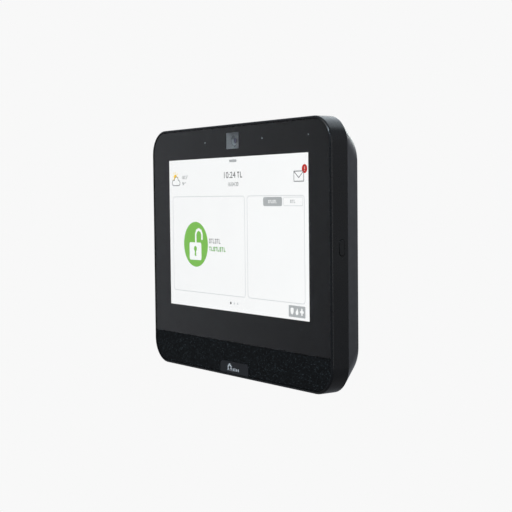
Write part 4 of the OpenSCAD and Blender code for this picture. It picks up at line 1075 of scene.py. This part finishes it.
# %% [markdown]
# ## The two speakers
# Each speaker is a racetrack driver, as thin panels use: a long paper cone with a round dust cap,
# hung in its frame by a rubber half roll. A voice coil is wound on the tube behind the cap. The
# cone rides on its own body and slides 0.4 mm each way, and a hair gap lets it pass the roll.

# %% Cones, dust caps and half rolls
def racetrack(half_w, half_h, cx, cz, steps=28):
    """Two half circles joined by straight sides."""
    straight = half_w - half_h
    return (arc(cx + straight, cz, half_h, -90, 90, steps) + arc(cx - straight, cz, half_h, 90, 270, steps))


def race_loft(profile, cx, cz):
    """A skin through racetracks given as (half width, half height, height above the wall) in mm."""
    return lofted([racetrack(w, h, cx, cz) for w, h, _ in profile], [high for _, _, high in profile])


coil_copper = metal("coil_copper", (0.78, 0.36, 0.20), 0.35, (1, 20, 1))
for side in ("left", "right"):
    x0, _, z0, x1, _, z1 = span(side + "_surround")
    cx, cz = (x0 + x1) / 2, (z0 + z1) / 2
    half_w, half_h = (x1 - x0) / 2 - 0.02, (z1 - z0) / 2 - 0.02
    step, _ = height(side + "_surround")
    coil_low, _ = height(side + "_diaphragm")
    roll = [(0.0, 0.0), (0.0, 0.30), (0.22, 0.66), (0.52, 0.80), (0.82, 0.66), (1.03, 0.30), (1.03, 0.0),
            (0.86, 0.14), (0.72, 0.42), (0.52, 0.52), (0.32, 0.42), (0.18, 0.14)]
    surround = race_loft([(half_w - d, half_h - d, step + h) for d, h in roll], cx, cz)
    piece_of(side + "_half_roll", surround, finishes["boot_rubber"], "panel",
             [side + "_surround"])
    roll_and_gap = 1.03 + 0.10
    rim_w, rim_h = half_w - roll_and_gap, half_h - roll_and_gap
    cone = race_loft([(rim_w, rim_h, step + 0.34), (rim_w - 0.8, rim_h - 0.3, step + 0.30),
                      (5.6, 4.5, step - 0.55), (5.6, 4.5, step - 0.80),
                      (rim_w - 0.8, rim_h - 0.3, step + 0.05), (rim_w, rim_h, step + 0.08)], cx, cz)
    cap = spun([(0, step + 0.36), (1.8, step + 0.29), (3.4, step + 0.06), (4.75, step - 0.46),
                (4.75, step - 0.70), (3.4, step - 0.20), (1.8, step + 0.03), (0, step + 0.10)], cx, cz)
    tube = spun([(4.78, coil_low + 0.02), (5.15, coil_low + 0.02), (5.15, step - 0.15),
                 (4.78, step - 0.15)], cx, cz)
    gather(side + "_cone_and_coil", [(cone, finishes["cone"]), (cap, finishes["cone"]), (tube, coil_copper)],
           side + "_diaphragm", [side + "_diaphragm"])

# %% [markdown]
# ## The rear mouldings
# A moulded edge is never quite sharp. The wall plate and the terminal block keep their measured
# shapes, and every edge is eased by a few tenths of a millimetre so that it catches the light.

# %% Ease the wall plate and the terminal block
ease_node("wall_plate", 0.25, 2, "plate_plastic", "wall_plate")
ease_node("terminal_block", 0.15, 2, "terminal_green")

# %% [markdown]
# ## Studio
# The panel floats in front of an even pale ground, as in a catalogue. A large bowl round the scene
# is both the floor and the backdrop. It is a little lamp of its own, so it has no shadow and no
# horizon, and it is kept out of the reflections, which the world and six soft boxes shape.

# %% Floor and backdrop in one bowl
def studio_bowl():
    profile = [(0.0, -0.9), (2.5, -0.9), (5.0, -0.8), (7.0, -0.2),
               (8.0, 1.5), (8.0, 5.0), (6.0, 8.0), (0.0, 9.0)]
    shape, rings = bmesh.new(), []
    for r, z in profile:
        rings.append([shape.verts.new((x, y, z)) for x, y in (disc(0, 0, r) if r else [(0, 0)])])
    skin(shape, rings)
    mesh = bpy.data.meshes.new("studio_bowl")
    shape.to_mesh(mesh)
    shape.free()
    mesh.shade_smooth()
    made = placed("studio_bowl", mesh)
    paper = bpy.data.materials.new("studio_paper")
    paper.use_nodes = True
    graph = paper.node_tree
    graph.nodes.clear()
    lamp = grow(graph, "ShaderNodeEmission", {"Color": (0.939, 0.939, 0.939, 1), "Strength": 1.0})
    out = grow(graph, "ShaderNodeOutputMaterial")
    graph.links.new(lamp.outputs[0], out.inputs[0])
    mesh.materials.append(paper)
    made.visible_diffuse = False
    made.visible_glossy = False
    made.visible_transmission = False
    made.visible_shadow = False
    return made


print("backdrop:", studio_bowl().name)

# %% The world, brighter behind the panel than before it
world = bpy.data.worlds.new("studio")
bpy.context.scene.world = world
world.use_nodes = True
graph = world.node_tree
graph.nodes.clear()
sky = grow(graph, "ShaderNodeTexCoord").outputs["Generated"]
facing = grow(graph, "ShaderNodeVectorMath", {0: sky, 1: (-0.6, 0.79, 0.3)},
              operation="DOT_PRODUCT").outputs["Value"]
share = math_node(graph, "MULTIPLY_ADD", facing, 0.5, 0.5)
glow = ramp(graph, share, [
    (0.0, (0.08, 0.082, 0.09)), (0.47, (0.124, 0.128, 0.140)), (0.515, (0.172, 0.177, 0.190)),
    (0.57, (0.222, 0.229, 0.248)), (0.63, (0.16, 0.165, 0.18)), (0.75, (0.20, 0.21, 0.23)),
    (0.895, (0.26, 0.27, 0.30)), (0.965, (0.56, 0.59, 0.66)), (1.0, (0.92, 0.96, 1.0))])
air = grow(graph, "ShaderNodeBackground", {"Color": glow, "Strength": 1.0})
graph.links.new(air.outputs[0], grow(graph, "ShaderNodeOutputWorld").inputs[0])
print("world:", world.name)

# %% Six soft boxes
def soft_box(name, place, size, power, colour=(1, 1, 1)):
    """A rectangular lamp that looks at the panel."""
    lamp = bpy.data.lights.new(name, "AREA")
    lamp.shape = "RECTANGLE"
    lamp.size, lamp.size_y = size
    lamp.energy = power
    lamp.color = colour
    made = placed(name, lamp)
    made.location = place
    made.rotation_euler = (-Vector(place)).to_track_quat("-Z", "Y").to_euler()


soft_box("front_box", (-0.3, -1.6, 1.3), (1.2, 0.9), 9)
soft_box("top_box", (0.52, -1.12, 0.96), (0.18, 0.34), 12, (0.72, 0.87, 1.0))
soft_box("back_top_box", (-0.20, 0.95, 1.05), (1.4, 0.9), 5.5, (0.82, 0.93, 1.0))
soft_box("back_left_box", (-1.15, 1.40, 0.42), (0.5, 0.6), 4, (0.92, 1.0, 0.97))
soft_box("right_box", (1.7, 1.2, 0.5), (1.6, 1.6), 1.0)
soft_box("right_wall_box", (2.2, -0.1, 0.3), (1.1, 1.4), 6)
print("soft boxes:", len(bpy.data.lights))

# %% [markdown]
# ## Camera
# The panel is seen from its right front, a little above the middle, with an 81 mm lens.

# %% Place the camera
view = bpy.data.cameras.new("view")
view.lens = 81.22
view.sensor_width = 36.0
camera = placed("view", view)
ahead, right = Vector((-0.819521, 0.570817, -0.050533)), Vector((0.571962, 0.820209, -0.010808))
up = right.cross(ahead)
stand = Matrix((right, up, -ahead)).transposed().to_4x4()
stand.translation = (0.584878, -0.415092, 0.032390)
camera.matrix_world = stand
bpy.context.scene.camera = camera
bpy.context.scene.view_settings.view_transform = "Standard"
print("camera to panel:", round(camera.matrix_world.translation.length, 3), "m")

# %% [markdown]
# ## Close
# The last line brings the view layer up to date.

# %% Bring the view layer up to date
bpy.context.view_layer.update()
